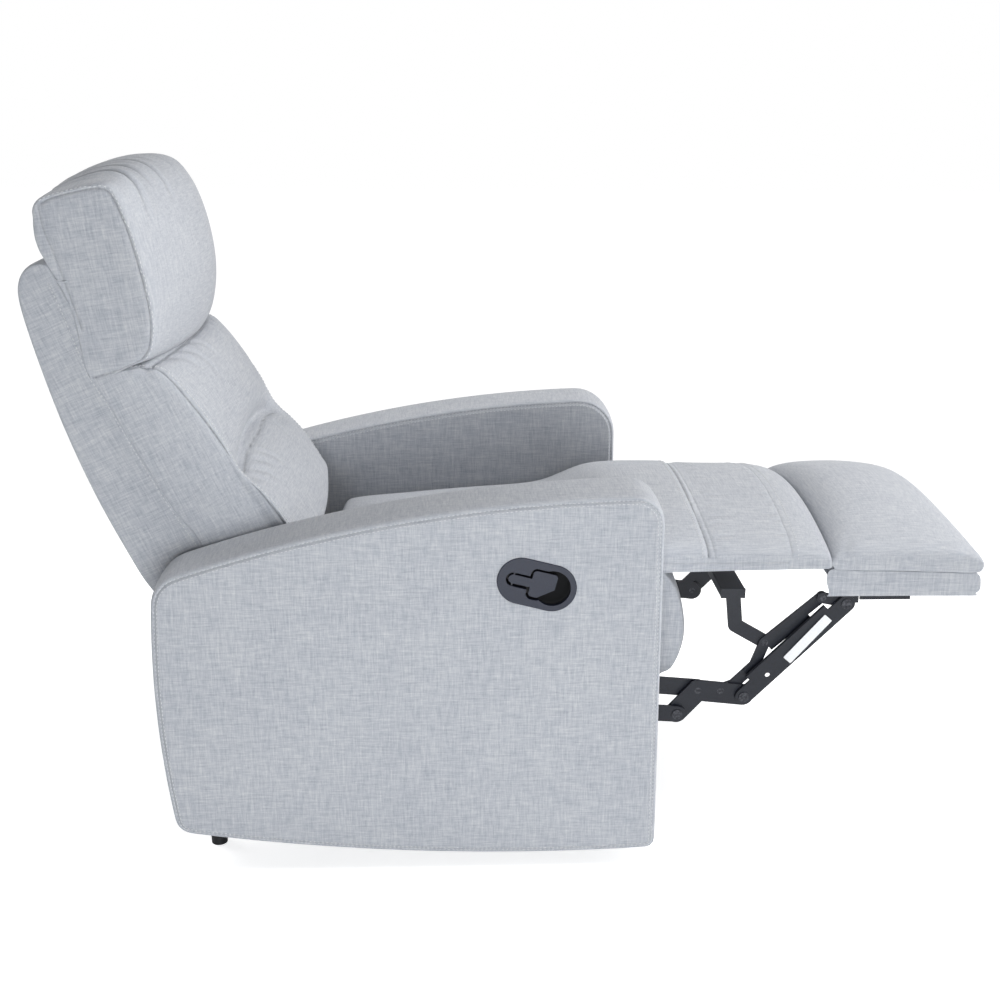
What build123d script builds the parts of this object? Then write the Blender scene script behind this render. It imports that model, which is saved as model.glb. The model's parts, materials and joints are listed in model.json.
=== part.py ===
# Manual recliner armchair, shown open: footrest out, back part-way down.
#
# +X points to the front, +Y to the sitter's left, +Z up. The origin is on the floor, under the
# middle of the opened chair. Lengths are millimetres. Places along the chair are measured ahead of
# the arms' front faces, and the right-hand side (the latch side) is modelled first and mirrored.

import os
from math import atan2, cos, degrees, hypot, radians, sin

from build123d import *

os.makedirs("parts", exist_ok=True)

# ---------------------------------------------------------------- overall
overall_width = 700.0
footrest_reach = 500.0  # footrest's far edge ahead of the arm fronts
back_reach = 890.0  # back's rear edge behind the arm fronts
arm_thickness = 108.5
arm_height = 575.7
side_gap = 3.0  # cushion to arm, each side

arm_front_x = (back_reach - footrest_reach) / 2
half_width = overall_width / 2
arm_inner_y = half_width - arm_thickness
cushion_half = arm_inner_y - side_gap

# ---------------------------------------------------------------- arms
arm_depth = 715.0
arm_rear_height = arm_height - 121.7
arm_crown = 25.5  # rise of the top edge above a straight line
arm_front_radius = 67.0
arm_rear_radius = 34.0
arm_edge_chamfer = 6.0
arm_bottom_front = 26.0
arm_bottom_mid = 29.0
arm_bottom_rear = 68.0
arm_rear_tuck = 18.0  # rear edge's foot ahead of its top
arm_rear_bow = 5.0
arm_rear_bow_height = 278.0
arm_frame_inset = 24.0  # padding over the timber
arm_frame_drop = 42.0  # padding over its top rail
arm_frame_band = 38.0
arm_frame_thickness = 36.0

# ---------------------------------------------------------------- timber and padding of the base
front_rail_thickness = 30.0
front_rail_bottom = 263.0
front_rail_top = 418.0
front_pad_bulge = 53.0
front_pad_half = arm_inner_y - 41.5
front_pad_bottom = 263.0
front_pad_sag = 12.0  # the bulge's height below the middle
front_pad_lip = 25.0
rear_rail_inset = 3.0
rear_rail_thickness = 22.0
rear_rail_bottom = 92.0
rear_rail_height = 150.0
seat_rail_height = 42.0
seat_rail_width = 28.0

# ---------------------------------------------------------------- seat
seat_rake = 9.4  # degrees, the deck falls to the rear
seat_deck_front = 427.0  # underside of the cushion at its front
deck_break = 0.0  # the deck is level ahead of this line
seat_frame_rear = -505.0
webbing_thickness = 2.0
webbing_width = 50.0
webs_fore_aft = 6
webs_across = 5
seat_front_ahead = 82.0
seat_rear_ahead = -452.0
seat_top_front = 510.0
seat_lip = 142.0  # length of the level front part
seat_swell_back = -250.0
seat_swell_height = 473.0
seat_top_rear = 437.0
crown_drop = 60.0  # how far the padded tops fall from the middle to the sides
crown_clear = 3.0  # the crowns' arches start this far over the flat middle

# ---------------------------------------------------------------- linkage
link_thickness = 4.0
layer_gap = 0.5
head_gap = 3.0  # room for rivet heads between the fork and the outer links
pin_radius = 5.0
pin_clearance = 0.08
head_radius = 8.0
head_height = 2.0
link_width = 26.0
bar_width = 28.0
fork_width = 34.0
outer_layer = arm_inner_y - 11.0
fork_layer = outer_layer - head_gap - link_thickness
inner_layer = fork_layer - layer_gap - link_thickness
strap_layer = inner_layer - layer_gap - link_thickness
bar_layer = strap_layer
base_layer = arm_inner_y - link_thickness
base_plate_setback = 2.0
base_plate_strip = 18.0
base_plate_waist = 175.0
base_plate_rear = 245.0
base_plate_corner = 8.0


def ahead(distance, height):
    """A point in a side plane: distance ahead of the arm fronts, height over the floor."""
    return (arm_front_x + distance, height)


# Pins of the open linkage, each (ahead of the arm fronts, height).
bar_pivot_at = (-210.0, 252.0)
fork_bar_pin_at = (82.0, 226.0)
fork_lower_pin_at = (50.0, 190.0)
fork_inner_pin_at = (117.0, 225.0)
fork_outer_pin_at = (152.0, 218.0)
lower_link_pin_at = (-16.0, 194.5)
strap_pin_at = (182.0, 303.0)
support_at = (130.0, 382.0)
ottoman_link_run = (148.0, 152.0)

bar_pivot = ahead(*bar_pivot_at)  # upper bar on the base plate
fork_bar_pin = ahead(*fork_bar_pin_at)  # upper bar to fork
fork_lower_pin = ahead(*fork_lower_pin_at)  # lower link to fork
fork_inner_pin = ahead(*fork_inner_pin_at)  # inner ottoman link to fork
fork_outer_pin = ahead(*fork_outer_pin_at)  # outer ottoman link to fork
lower_link_pin = ahead(*lower_link_pin_at)  # lower link's rear roller, in the base plate's window
strap_pin = ahead(*strap_pin_at)  # calf support strap to inner link
support_centre = ahead(*support_at)  # calf support tube

bar_slope = (bar_pivot[1] - fork_bar_pin[1]) / (fork_bar_pin[0] - bar_pivot[0])
drive_tube_ahead = 60.0
drive_tube_size = 20.0
drive_tube_wall = 2.0
inner_link_width = 17.0
inner_link_bow = 9.0
inner_link_bow_at = 20.0
inner_link_bow_length = 45.0
link_head = 1.5
spare_hole_at = 50.0
spare_hole_radius = 4.0
flange_thickness = 2.5
flange_height = 2.5
flange_start = 0.12
link_shoulder = 10.0  # extra width of the outer link towards the seat
inner_link_web = 8.0  # extra width of the inner link past the strap, towards the outer link
inner_link_web_end = 0.7
strap_reach = 46.0
strap_rise = 27.0
support_width = 37.0
support_height = 15.0
support_wall = 2.0
strap_width = 22.0
window_depth = 34.0
window_bottom = 187.5
window_top = 213.0
bracket_ear_width = 17.0
bracket_ear_length = 40.0
bracket_flange_ahead = 22.0
bracket_flange_length = 77.0
bracket_flange_width = 37.0
bracket_leg_height = 12.0  # the angle's upright leg, from the board down

# ---------------------------------------------------------------- footrest and calf pad
board_near = 257.0
board_thickness = 40.0
board_top = 426.0
board_side_inset = 2.0
board_corner_radius = 6.0
pad_near = 250.0
pad_height = 81.0
pad_corner_radius = 30.0
panel_gap = 0.3
calf_pad_bottom = 425.0
calf_pad_split = 200.0  # the pad's firm part ends here
calf_pad_top = 508.0

# ---------------------------------------------------------------- back
back_pivot_at = (-645.0, 335.0)
back_pivot = ahead(*back_pivot_at)
back_half = cushion_half - 6.0
hinge_plate_thickness = 3.0
hinge_pin_radius = 6.0
hinge_plate_run = (45.0, -30.0)
hinge_plate_width = 48.0
back_bracket_run = (-42.0, 78.0)
back_bracket_width = 36.0
back_frame_thickness = 22.0
stile_foot_at = (-655.0, 345.0)
stile_head_at = (-868.0, 835.0)
stile_width = 45.0
stile_cover = 17.5  # padding beside the stiles
stile_inner_y = back_half - stile_cover - stile_width
back_rail_places = (0.0, 0.42, 0.88)
back_rail_share = 0.12

# Side outlines of the back as posed, each point (ahead of the arm fronts, height).
slab_front = ((-603.0, 345.0), (-658.0, 472.0), (-721.0, 565.0), (-794.0, 723.0), (-840.0, 860.0))
slab_crest = (-868.0, 882.0)
slab_rear = ((-890.0, 858.0), (-859.0, 698.0), (-801.0, 525.0), (-741.0, 404.0), (-693.0, 345.0))
slab_foot = (-648.0, 287.0)
lumbar_upper = ((-748.0, 735.0), (-645.0, 722.0), (-597.0, 590.0))
lumbar_lower = ((-597.0, 590.0), (-512.0, 535.0), (-500.0, 450.0))
lumbar_foot = (-560.0, 428.0)
lumbar_behind = (-760.0, 440.0)
behind_slab_front = (-832.0, 740.0)  # inside the slab, where both cushions are cut to fit it
pillow_rear = ((-840.0, 862.0), (-872.0, 925.0), (-858.0, 978.0))
pillow_top = ((-858.0, 978.0), (-772.0, 1012.0), (-690.0, 982.0))
pillow_front = ((-690.0, 982.0), (-658.0, 865.0), (-694.0, 748.0))
pillow_root = (-722.0, 738.0)
pillow_front_drop = 58.0  # how far its front falls back from the middle to the sides
pillow_top_drop = 32.0
lumbar_front_drop = 48.0
lumbar_lean = 35.0  # degrees, the lumbar cushion's front from upright

# ---------------------------------------------------------------- latch
latch_back = 178.0
latch_drop = 126.7  # latch under the arm's highest line
latch_centre = ahead(-latch_back, arm_height - latch_drop)
latch_tilt = 14.5  # degrees, front end down
bezel_length = 114.0
bezel_height = 69.0
bezel_rim = 8.5
bezel_lip = 6.0  # how far the rim laps over the upholstery
bezel_depth = 26.0
latch_cavity = 19.0
lever_thickness = 5.0
lever_gap = 3.8
stem_width = 13.0
paddle_width = 39.0
latch_pin_radius = 2.0
latch_pin_length = 34.0
stem_end_margin = 16.0
stem_length = 26.0
paddle_length = 35.0
paddle_cut_height = 17.0
paddle_cut_length = 22.0
paddle_corner_radius = 5.0
lever_tongue_reach = 15.0
lever_tongue_thickness = 4.0
bezel_proud = 2.0

# ---------------------------------------------------------------- release cable
cable_radius = 2.5
cable_clearance = 1.0
bezel_floor_gap = 4.0
cable_drop_y = arm_inner_y + 46.5
cable_end_height = 302.0
cable_end_y = arm_inner_y - 13.5

# ---------------------------------------------------------------- feet
glide_radius = 15.0
glide_foot_radius = 12.0
glide_spigot_radius = 8.0
glide_socket = 12.0
glide_y = arm_inner_y + 24.5
glide_front_back = 46.0  # behind the arm fronts
glide_rear_back = arm_depth - 60.0
glide_front_height = 27.0
glide_rear_height = 64.0


# ================================================================ helpers
def side_plane(y_from_centre):
    """The right-hand side plane at a distance from the middle; extruding goes outwards."""
    return Plane.XZ.offset(y_from_centre)


def finish(builder, label):
    builder.part.label = label
    export_step(builder.part, f"parts/{label}.step")


def plus(point, dx, dz):
    return (point[0] + dx, point[1] + dz)


def slot(a, b, width):
    """A round-ended bar from a to b, drawn in the running sketch."""
    dx, dz = b[0] - a[0], b[1] - a[1]
    with Locations(plus(a, dx / 2, dz / 2)):
        SlotCenterToCenter(hypot(dx, dz), width, rotation=degrees(atan2(dz, dx)))


def board_along(a, b, width, low_end=0.0, high_end=1.0):
    """A square-ended strip between two fractions of the way from a to b, in the running sketch."""
    dx, dz = b[0] - a[0], b[1] - a[1]
    middle = (low_end + high_end) / 2
    with Locations(plus(a, dx * middle, dz * middle)):
        Rectangle(hypot(dx, dz) * (high_end - low_end), width, rotation=degrees(atan2(dz, dx)))


def pin_holes(*points):
    with Locations(*points):
        Circle(pin_radius + pin_clearance, mode=Mode.SUBTRACT)


def rivet(point, inner_y, outer_y, inner_head=head_height, outer_head=head_height):
    """A pin through plates from inner_y to outer_y, with a head of the given height at each end."""
    with BuildPart() as pin:
        with BuildSketch(side_plane(inner_y - inner_head)):
            with Locations(point):
                Circle(pin_radius)
        extrude(amount=outer_y - inner_y + inner_head + outer_head)
        for face_y, height in ((inner_y - inner_head, inner_head), (outer_y, outer_head)):
            if height > 0:
                with BuildSketch(side_plane(face_y)):
                    with Locations(point):
                        Circle(head_radius)
                extrude(amount=height)
    return pin.part


def arched_bar(base, drop, reach=1200.0):
    """A long bar along the base plane's normal, as wide as the cushions, whose top is an arch just over
    the plane's origin. Cushions are cut to it, so that they fall away to their sides."""
    with BuildPart() as bar:
        with BuildSketch(base):
            with BuildLine():
                ThreePointArc((-cushion_half, -drop), (0, crown_clear), (cushion_half, -drop))
                Polyline((cushion_half, -drop), (cushion_half, -reach), (-cushion_half, -reach), (-cushion_half, -drop))
            make_face()
        extrude(amount=reach, both=True)
    return bar.part


def along_chair(point, lean=0.0):
    """A plane across the chair through a point (ahead, height), its local y leaning forward from upright."""
    angle = radians(lean)
    return Plane(
        origin=(arm_front_x + point[0], 0, point[1]),
        x_dir=(0, 1, 0),
        z_dir=(cos(angle), 0, -sin(angle)),
    )


def export_mirrored(right, label):
    """Write the left-hand copy of a right-hand piece."""
    with BuildPart() as left:
        mirror(right.part, about=Plane.XZ)
    finish(left, label)
    return left


# ================================================================ feet
with BuildPart() as glides:
    for distance, height in ((-glide_front_back, glide_front_height), (-glide_rear_back, glide_rear_height)):
        for side in (-1, 1):
            place = (arm_front_x + distance, side * glide_y)
            with BuildSketch(Plane.XY):
                with Locations(place):
                    Circle(glide_foot_radius)
            with BuildSketch(Plane.XY.offset(height)):
                with Locations(place):
                    Circle(glide_radius)
            loft()
            with BuildSketch(Plane.XY.offset(height)):
                with Locations(place):
                    Circle(glide_spigot_radius)
            extrude(amount=glide_socket)
finish(glides, "glides")

# ================================================================ arms
# The arm seen from the side: a bowed top, and a bottom edge that lifts towards the rear.
with BuildSketch(Plane.XY) as arm_side:
    with BuildLine():
        front_low = ahead(0.0, arm_bottom_front)
        top_front = ahead(-arm_front_radius, arm_height)
        top_rear = ahead(-arm_depth, arm_rear_height)
        rear_low = ahead(-arm_depth + arm_rear_tuck, arm_bottom_rear)
        Line(front_low, ahead(0.0, arm_height - arm_front_radius))
        JernArc(ahead(0.0, arm_height - arm_front_radius), (0, 1), arm_front_radius, 90)
        top_middle = ((top_front[0] + top_rear[0]) / 2, (top_front[1] + top_rear[1]) / 2 + arm_crown)
        ThreePointArc(top_front, top_middle, top_rear)
        ThreePointArc(top_rear, ahead(-arm_depth - arm_rear_bow, arm_rear_bow_height), rear_low)
        ThreePointArc(rear_low, ahead(-arm_depth / 2, arm_bottom_mid), front_low)
    make_face()
    fillet(arm_side.vertices().group_by(Axis.X)[0].sort_by(Axis.Y)[-1], arm_rear_radius)
    fillet(arm_side.vertices().sort_by_distance(rear_low)[0], arm_rear_radius)
    fillet(arm_side.vertices().sort_by_distance(front_low)[0], arm_rear_radius / 2)

arm_frame_inner_y = arm_inner_y + (arm_thickness - arm_frame_thickness) / 2
with BuildPart() as arm_frame_right:
    with BuildSketch(side_plane(arm_frame_inner_y)) as timber_side:
        with BuildLine():
            Polyline(
                ahead(-arm_frame_inset, arm_bottom_front + arm_frame_inset),
                ahead(-arm_frame_inset, arm_height - arm_frame_drop),
                ahead(-arm_depth + arm_frame_inset, arm_rear_height - arm_frame_drop),
                ahead(-arm_depth + arm_rear_tuck + arm_frame_inset, arm_bottom_rear + arm_frame_inset),
                close=True,
            )
        make_face()
        offset(timber_side.sketch_local, amount=-arm_frame_band, kind=Kind.INTERSECTION, mode=Mode.SUBTRACT)
    extrude(amount=arm_frame_thickness)
finish(arm_frame_right, "arm_frame_right")
export_mirrored(arm_frame_right, "arm_frame_left")

with BuildPart() as arm_blank:
    with BuildSketch(side_plane(arm_inner_y)):
        add(arm_side.sketch)
    extrude(amount=arm_thickness)
    chamfer(arm_blank.faces().sort_by(Axis.Y)[0].edges(), arm_edge_chamfer)
    chamfer(arm_blank.faces().sort_by(Axis.Y)[-1].edges(), arm_edge_chamfer / 2)
    add(arm_frame_right.part, mode=Mode.SUBTRACT)
    add(glides.part, mode=Mode.SUBTRACT)
export_mirrored(arm_blank, "arm_left")

# ================================================================ latch, in the right arm
tilt = radians(latch_tilt)
latch_face = Plane(
    origin=(latch_centre[0], -half_width, latch_centre[1]),
    x_dir=(cos(tilt), 0, -sin(tilt)),
    z_dir=(0, -1, 0),
)
bezel_end_x = (bezel_length - bezel_height) / 2
lever_pin_x = -bezel_length / 2 + stem_end_margin + stem_width / 2
paddle_x = lever_pin_x + stem_length
paddle_end_x = paddle_x + paddle_length
lever_pin_depth = lever_thickness / 2
recess_radius = bezel_height / 2 - bezel_rim

# The lever seen from outside: a narrow stem, and a paddle with its front lower corner cut away.
with BuildSketch(Plane.XY) as lever_face:
    with BuildLine():
        Polyline(
            (lever_pin_x, stem_width / 2),
            (paddle_x, stem_width / 2),
            (paddle_x, paddle_width / 2),
            (paddle_end_x, paddle_width / 2),
            (paddle_end_x, -paddle_width / 2 + paddle_cut_height),
            (paddle_end_x - paddle_cut_length, -paddle_width / 2),
            (paddle_x, -paddle_width / 2),
            (paddle_x, -stem_width / 2),
            (lever_pin_x, -stem_width / 2),
            close=True,
        )
    make_face()
    outer_corners = lever_face.vertices().filter_by(lambda v: abs(v.Y) > paddle_width / 2 - 1)
    fillet(outer_corners, paddle_corner_radius)
    with Locations((lever_pin_x, 0)):
        Circle(stem_width / 2)

with BuildPart() as latch_lever:
    with BuildSketch(latch_face.offset(-lever_thickness)):
        add(lever_face.sketch)
    extrude(amount=lever_thickness)
    # The tongue behind the paddle's root carries the cable's inner wire.
    with BuildSketch(latch_face.offset(-lever_tongue_reach)):
        with Locations((paddle_x, 0)):
            Rectangle(lever_tongue_thickness, stem_width)
    extrude(amount=lever_tongue_reach - lever_thickness)
    with Locations(latch_face * Pos(lever_pin_x, 0, -lever_pin_depth) * Rot(90, 0, 0)):
        Cylinder(latch_pin_radius + pin_clearance / 2, stem_width * 2, mode=Mode.SUBTRACT)
finish(latch_lever, "latch_lever")

with BuildPart() as latch_bezel:
    with BuildSketch(latch_face.offset(-bezel_depth)):
        SlotOverall(bezel_length - 2 * bezel_lip, bezel_height - 2 * bezel_lip)
    extrude(amount=bezel_depth)
    with BuildSketch(latch_face):
        SlotOverall(bezel_length, bezel_height)
    extrude(amount=bezel_proud)
    chamfer(latch_bezel.faces().sort_by(Axis.Y)[0].edges(), bezel_proud / 2)
    # Keyhole opening round the lever, and the finger recess beyond its free end.
    with BuildSketch(latch_face.offset(-latch_cavity)):
        offset(lever_face.sketch, amount=lever_gap)
        with Locations((bezel_end_x, 0)):
            Circle(recess_radius)
    extrude(amount=latch_cavity + bezel_proud, mode=Mode.SUBTRACT)
    with Locations(latch_face * Pos(lever_pin_x, 0, -lever_pin_depth) * Rot(90, 0, 0)):
        Cylinder(latch_pin_radius + pin_clearance / 2, latch_pin_length, mode=Mode.SUBTRACT)
    with Locations(latch_face * Pos(paddle_x, 0, -bezel_depth)):
        Cylinder(cable_radius + cable_clearance, bezel_depth, mode=Mode.SUBTRACT)
finish(latch_bezel, "latch_bezel")

with BuildPart() as latch_pin:
    with Locations(latch_face * Pos(lever_pin_x, 0, -lever_pin_depth) * Rot(90, 0, 0)):
        Cylinder(latch_pin_radius, latch_pin_length - pin_clearance)
finish(latch_pin, "latch_pin")

# The release cable runs inwards from the latch, down inside the arm, and out to the base plate.
cable_start = latch_face * Pos(paddle_x, 0, -bezel_depth + bezel_floor_gap)
cable_x = cable_start.position.X
cable_top_z = cable_start.position.Z
cable_share = 0.45  # bend radius as a share of the shorter straight run, for square turns
cable_first_radius = cable_share * (-cable_start.position.Y - cable_drop_y)
cable_second_radius = cable_share * (cable_drop_y - cable_end_y)
with BuildPart() as cable_bore:
    with BuildLine() as bore_path:
        bore_runs = [
            (cable_x, cable_start.position.Y, cable_top_z),
            (cable_x, -cable_drop_y, cable_top_z),
            (cable_x, -cable_drop_y, cable_end_height),
            (cable_x, -arm_inner_y + link_thickness, cable_end_height),
        ]
        FilletPolyline(*bore_runs, radius=(cable_first_radius, cable_second_radius))
    with BuildSketch(bore_path.line ^ 0):
        Circle(cable_radius + cable_clearance)
    sweep()
with BuildPart() as release_cable:
    with BuildLine() as cable_path:
        cable_runs = bore_runs[:-1] + [(cable_x, -cable_end_y, cable_end_height)]
        FilletPolyline(*cable_runs, radius=(cable_first_radius, cable_second_radius))
    with BuildSketch(cable_path.line ^ 0):
        Circle(cable_radius)
    sweep()
finish(release_cable, "release_cable")

with BuildPart() as arm_right:
    add(arm_blank.part)
    with BuildSketch(latch_face.offset(-bezel_depth)):
        SlotOverall(bezel_length - 2 * bezel_lip, bezel_height - 2 * bezel_lip)
    extrude(amount=bezel_depth + 1, mode=Mode.SUBTRACT)
    add(cable_bore.part, mode=Mode.SUBTRACT)
finish(arm_right, "arm_right")

# ================================================================ timber of the base
with BuildPart() as front_rail:
    with BuildSketch(side_plane(0)):
        with Locations(ahead(-front_rail_thickness, front_rail_bottom)):
            Rectangle(front_rail_thickness, front_rail_top - front_rail_bottom, align=(Align.MIN, Align.MIN))
    extrude(amount=arm_inner_y, both=True)
finish(front_rail, "front_rail")

with BuildPart() as front_rail_pad:
    with BuildSketch(side_plane(0)):
        with BuildLine():
            ThreePointArc(
                ahead(0, front_pad_bottom),
                ahead(front_pad_bulge, (front_pad_bottom + seat_deck_front) / 2 - front_pad_sag),
                ahead(front_pad_lip, seat_deck_front),
            )
            Polyline(ahead(front_pad_lip, seat_deck_front), ahead(0, seat_deck_front), ahead(0, front_pad_bottom))
        make_face()
    extrude(amount=front_pad_half, both=True)
finish(front_rail_pad, "front_rail_pad")

with BuildPart() as rear_rail:
    with BuildSketch(side_plane(0)):
        with Locations(ahead(-arm_depth + rear_rail_inset, rear_rail_bottom)):
            Rectangle(rear_rail_thickness, rear_rail_height, align=(Align.MIN, Align.MIN))
    extrude(amount=arm_inner_y, both=True)
finish(rear_rail, "rear_rail")

# ================================================================ seat
# The deck plane falls to the rear: x runs forwards up the slope, z is square to the deck.
rake = radians(seat_rake)
deck = Plane(
    origin=(arm_front_x + deck_break, 0, seat_deck_front),
    x_dir=(cos(rake), 0, sin(rake)),
    z_dir=(-sin(rake), 0, cos(rake)),
)
deck_front_x = (-front_rail_thickness - deck_break) / cos(rake)
deck_rear_x = (seat_frame_rear - deck_break) / cos(rake)
with BuildPart() as seat_frame:
    rail_length = deck_front_x - deck_rear_x - (seat_rail_height + 2 * webbing_thickness) * sin(rake) / cos(rake)
    with BuildSketch(deck.offset(-2 * webbing_thickness - seat_rail_height)):
        for side in (-1, 1):
            with Locations((deck_rear_x + rail_length / 2, side * (arm_inner_y - seat_rail_width / 2))):
                Rectangle(rail_length, seat_rail_width)
    extrude(amount=seat_rail_height)
    with BuildSketch(deck.offset(-webbing_thickness - seat_rail_height)):
        with Locations((deck_rear_x + seat_rail_width / 2, 0)):
            Rectangle(seat_rail_width, 2 * (arm_inner_y - seat_rail_width))
    extrude(amount=seat_rail_height)
finish(seat_frame, "seat_frame")

with BuildPart() as seat_webbing:
    web_length = deck_front_x + front_rail_thickness / 2 - deck_rear_x
    web_pitch = 2 * (arm_inner_y - seat_rail_width) / webs_fore_aft
    with BuildSketch(deck.offset(-webbing_thickness)):
        with Locations((deck_rear_x + web_length / 2, 0)):
            with GridLocations(1, web_pitch, 1, webs_fore_aft):
                Rectangle(web_length, webbing_width)
    extrude(amount=webbing_thickness)
    cross_pitch = (rail_length - 2 * webbing_width) / (webs_across - 1)
    with BuildSketch(deck.offset(-2 * webbing_thickness)):
        with Locations((deck_rear_x + rail_length / 2, 0)):
            with GridLocations(cross_pitch, 1, webs_across, 1):
                Rectangle(webbing_width * 0.8, 2 * arm_inner_y - seat_rail_width)
    extrude(amount=webbing_thickness)
finish(seat_webbing, "seat_webbing")

seat_rear_bottom = seat_deck_front - (deck_break - seat_rear_ahead) * sin(rake) / cos(rake)
with BuildPart() as seat_cushion:
    with BuildSketch(side_plane(0)):
        with BuildLine():
            Polyline(
                ahead(seat_rear_ahead, seat_rear_bottom),
                ahead(deck_break, seat_deck_front),
                ahead(seat_front_ahead, seat_deck_front),
                ahead(seat_front_ahead, seat_top_front),
                ahead(seat_front_ahead - seat_lip, seat_top_front),
            )
            ThreePointArc(
                ahead(seat_front_ahead - seat_lip, seat_top_front),
                ahead(seat_swell_back, seat_swell_height),
                ahead(seat_rear_ahead, seat_top_rear),
            )
            Line(ahead(seat_rear_ahead, seat_top_rear), ahead(seat_rear_ahead, seat_rear_bottom))
        make_face()
    extrude(amount=cushion_half, both=True)
    seat_fall = degrees(atan2(seat_top_front - seat_top_rear, seat_front_ahead - seat_lip - seat_rear_ahead))
    add(arched_bar(along_chair((0.0, seat_top_front)), crown_drop), mode=Mode.INTERSECT)
    add(
        arched_bar(along_chair((seat_front_ahead - seat_lip, seat_top_front), -seat_fall), crown_drop),
        mode=Mode.INTERSECT,
    )
finish(seat_cushion, "seat_cushion")

# ================================================================ linkage
# Layers from the chair's middle outwards: straps and upper bars, inner links, forks, and last the
# outer links with the lower links. The inner link is bowed so that it passes the upper bar's pin.
with BuildPart() as base_plate_right:
    with BuildSketch(side_plane(base_layer)) as base_plate_side:
        with BuildLine():
            Polyline(
                ahead(-base_plate_setback, window_bottom - base_plate_strip),
                ahead(-base_plate_setback, window_top + base_plate_strip),
                ahead(-base_plate_waist, bar_pivot[1] + base_plate_strip),
                ahead(-base_plate_waist, cable_end_height + base_plate_strip),
                ahead(-base_plate_rear, cable_end_height + base_plate_strip),
                ahead(-base_plate_rear, bar_pivot[1] - base_plate_strip),
                ahead(-base_plate_waist, window_bottom - base_plate_strip),
                close=True,
            )
        make_face()
        fillet(base_plate_side.vertices(), base_plate_corner)
        with Locations(ahead(-base_plate_setback - window_depth, (window_bottom + window_top) / 2)):
            Rectangle(window_depth + 1, window_top - window_bottom, align=(Align.MIN, Align.CENTER),
                      mode=Mode.SUBTRACT)
        pin_holes(bar_pivot)
        with Locations((cable_x, cable_end_height)):
            Circle(cable_radius + cable_clearance, mode=Mode.SUBTRACT)
    extrude(amount=link_thickness)
finish(base_plate_right, "base_plate_right")
export_mirrored(base_plate_right, "base_plate_left")

with BuildPart() as bar_studs:
    add(rivet(bar_pivot, bar_layer, base_layer + link_thickness, outer_head=0))
    with BuildSketch(side_plane(bar_layer + link_thickness + layer_gap)):
        with Locations(bar_pivot):
            Circle(head_radius)
    extrude(amount=base_layer - bar_layer - link_thickness - layer_gap)
    mirror(about=Plane.XZ)
finish(bar_studs, "bar_studs")

with BuildPart() as upper_bar_right:
    with BuildSketch(side_plane(bar_layer)):
        slot(bar_pivot, fork_bar_pin, bar_width)
        pin_holes(bar_pivot, fork_bar_pin)
    extrude(amount=link_thickness)
finish(upper_bar_right, "upper_bar_right")
export_mirrored(upper_bar_right, "upper_bar_left")

with BuildPart() as drive_tube:
    with BuildSketch(side_plane(0)):
        tube_at = plus(bar_pivot, drive_tube_ahead, -drive_tube_ahead * bar_slope)
        with Locations(tube_at):
            RectangleRounded(drive_tube_size, drive_tube_size, drive_tube_wall, rotation=-degrees(atan2(bar_slope, 1)))
            Rectangle(
                drive_tube_size - 2 * drive_tube_wall,
                drive_tube_size - 2 * drive_tube_wall,
                rotation=-degrees(atan2(bar_slope, 1)),
                mode=Mode.SUBTRACT,
            )
    extrude(amount=bar_layer, both=True)
finish(drive_tube, "drive_tube")

with BuildPart() as fork_plate_right:
    with BuildSketch(side_plane(fork_layer)):
        slot(fork_bar_pin, fork_outer_pin, fork_width)
        slot(fork_bar_pin, fork_lower_pin, fork_width)
        with BuildLine():
            Polyline(fork_lower_pin, fork_bar_pin, fork_inner_pin, close=True)
        make_face()
        pin_holes(fork_bar_pin, fork_lower_pin, fork_inner_pin, fork_outer_pin)
    extrude(amount=link_thickness)
finish(fork_plate_right, "fork_plate_right")
export_mirrored(fork_plate_right, "fork_plate_left")

with BuildPart() as fork_pins:
    add(rivet(fork_bar_pin, bar_layer, fork_layer + link_thickness, outer_head=0))
    add(rivet(fork_inner_pin, inner_layer, fork_layer + link_thickness, outer_head=0))
    add(rivet(fork_outer_pin, fork_layer, outer_layer + link_thickness, inner_head=0))
    add(rivet(fork_lower_pin, fork_layer, outer_layer + link_thickness, inner_head=0))
    mirror(about=Plane.XZ)
finish(fork_pins, "fork_pins")

with BuildPart() as lower_link_right:
    with BuildSketch(side_plane(outer_layer)):
        slot(fork_lower_pin, lower_link_pin, link_width)
        pin_holes(fork_lower_pin, lower_link_pin)
    extrude(amount=link_thickness)
finish(lower_link_right, "lower_link_right")
export_mirrored(lower_link_right, "lower_link_left")

with BuildPart() as lower_link_pins:
    add(rivet(lower_link_pin, outer_layer, arm_inner_y - layer_gap, inner_head=link_head, outer_head=0))
    mirror(about=Plane.XZ)
finish(lower_link_pins, "lower_link_pins")

ottoman_inner_pin = plus(fork_inner_pin, *ottoman_link_run)
ottoman_outer_pin = plus(fork_outer_pin, *ottoman_link_run)
link_length = hypot(*ottoman_link_run)
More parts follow.
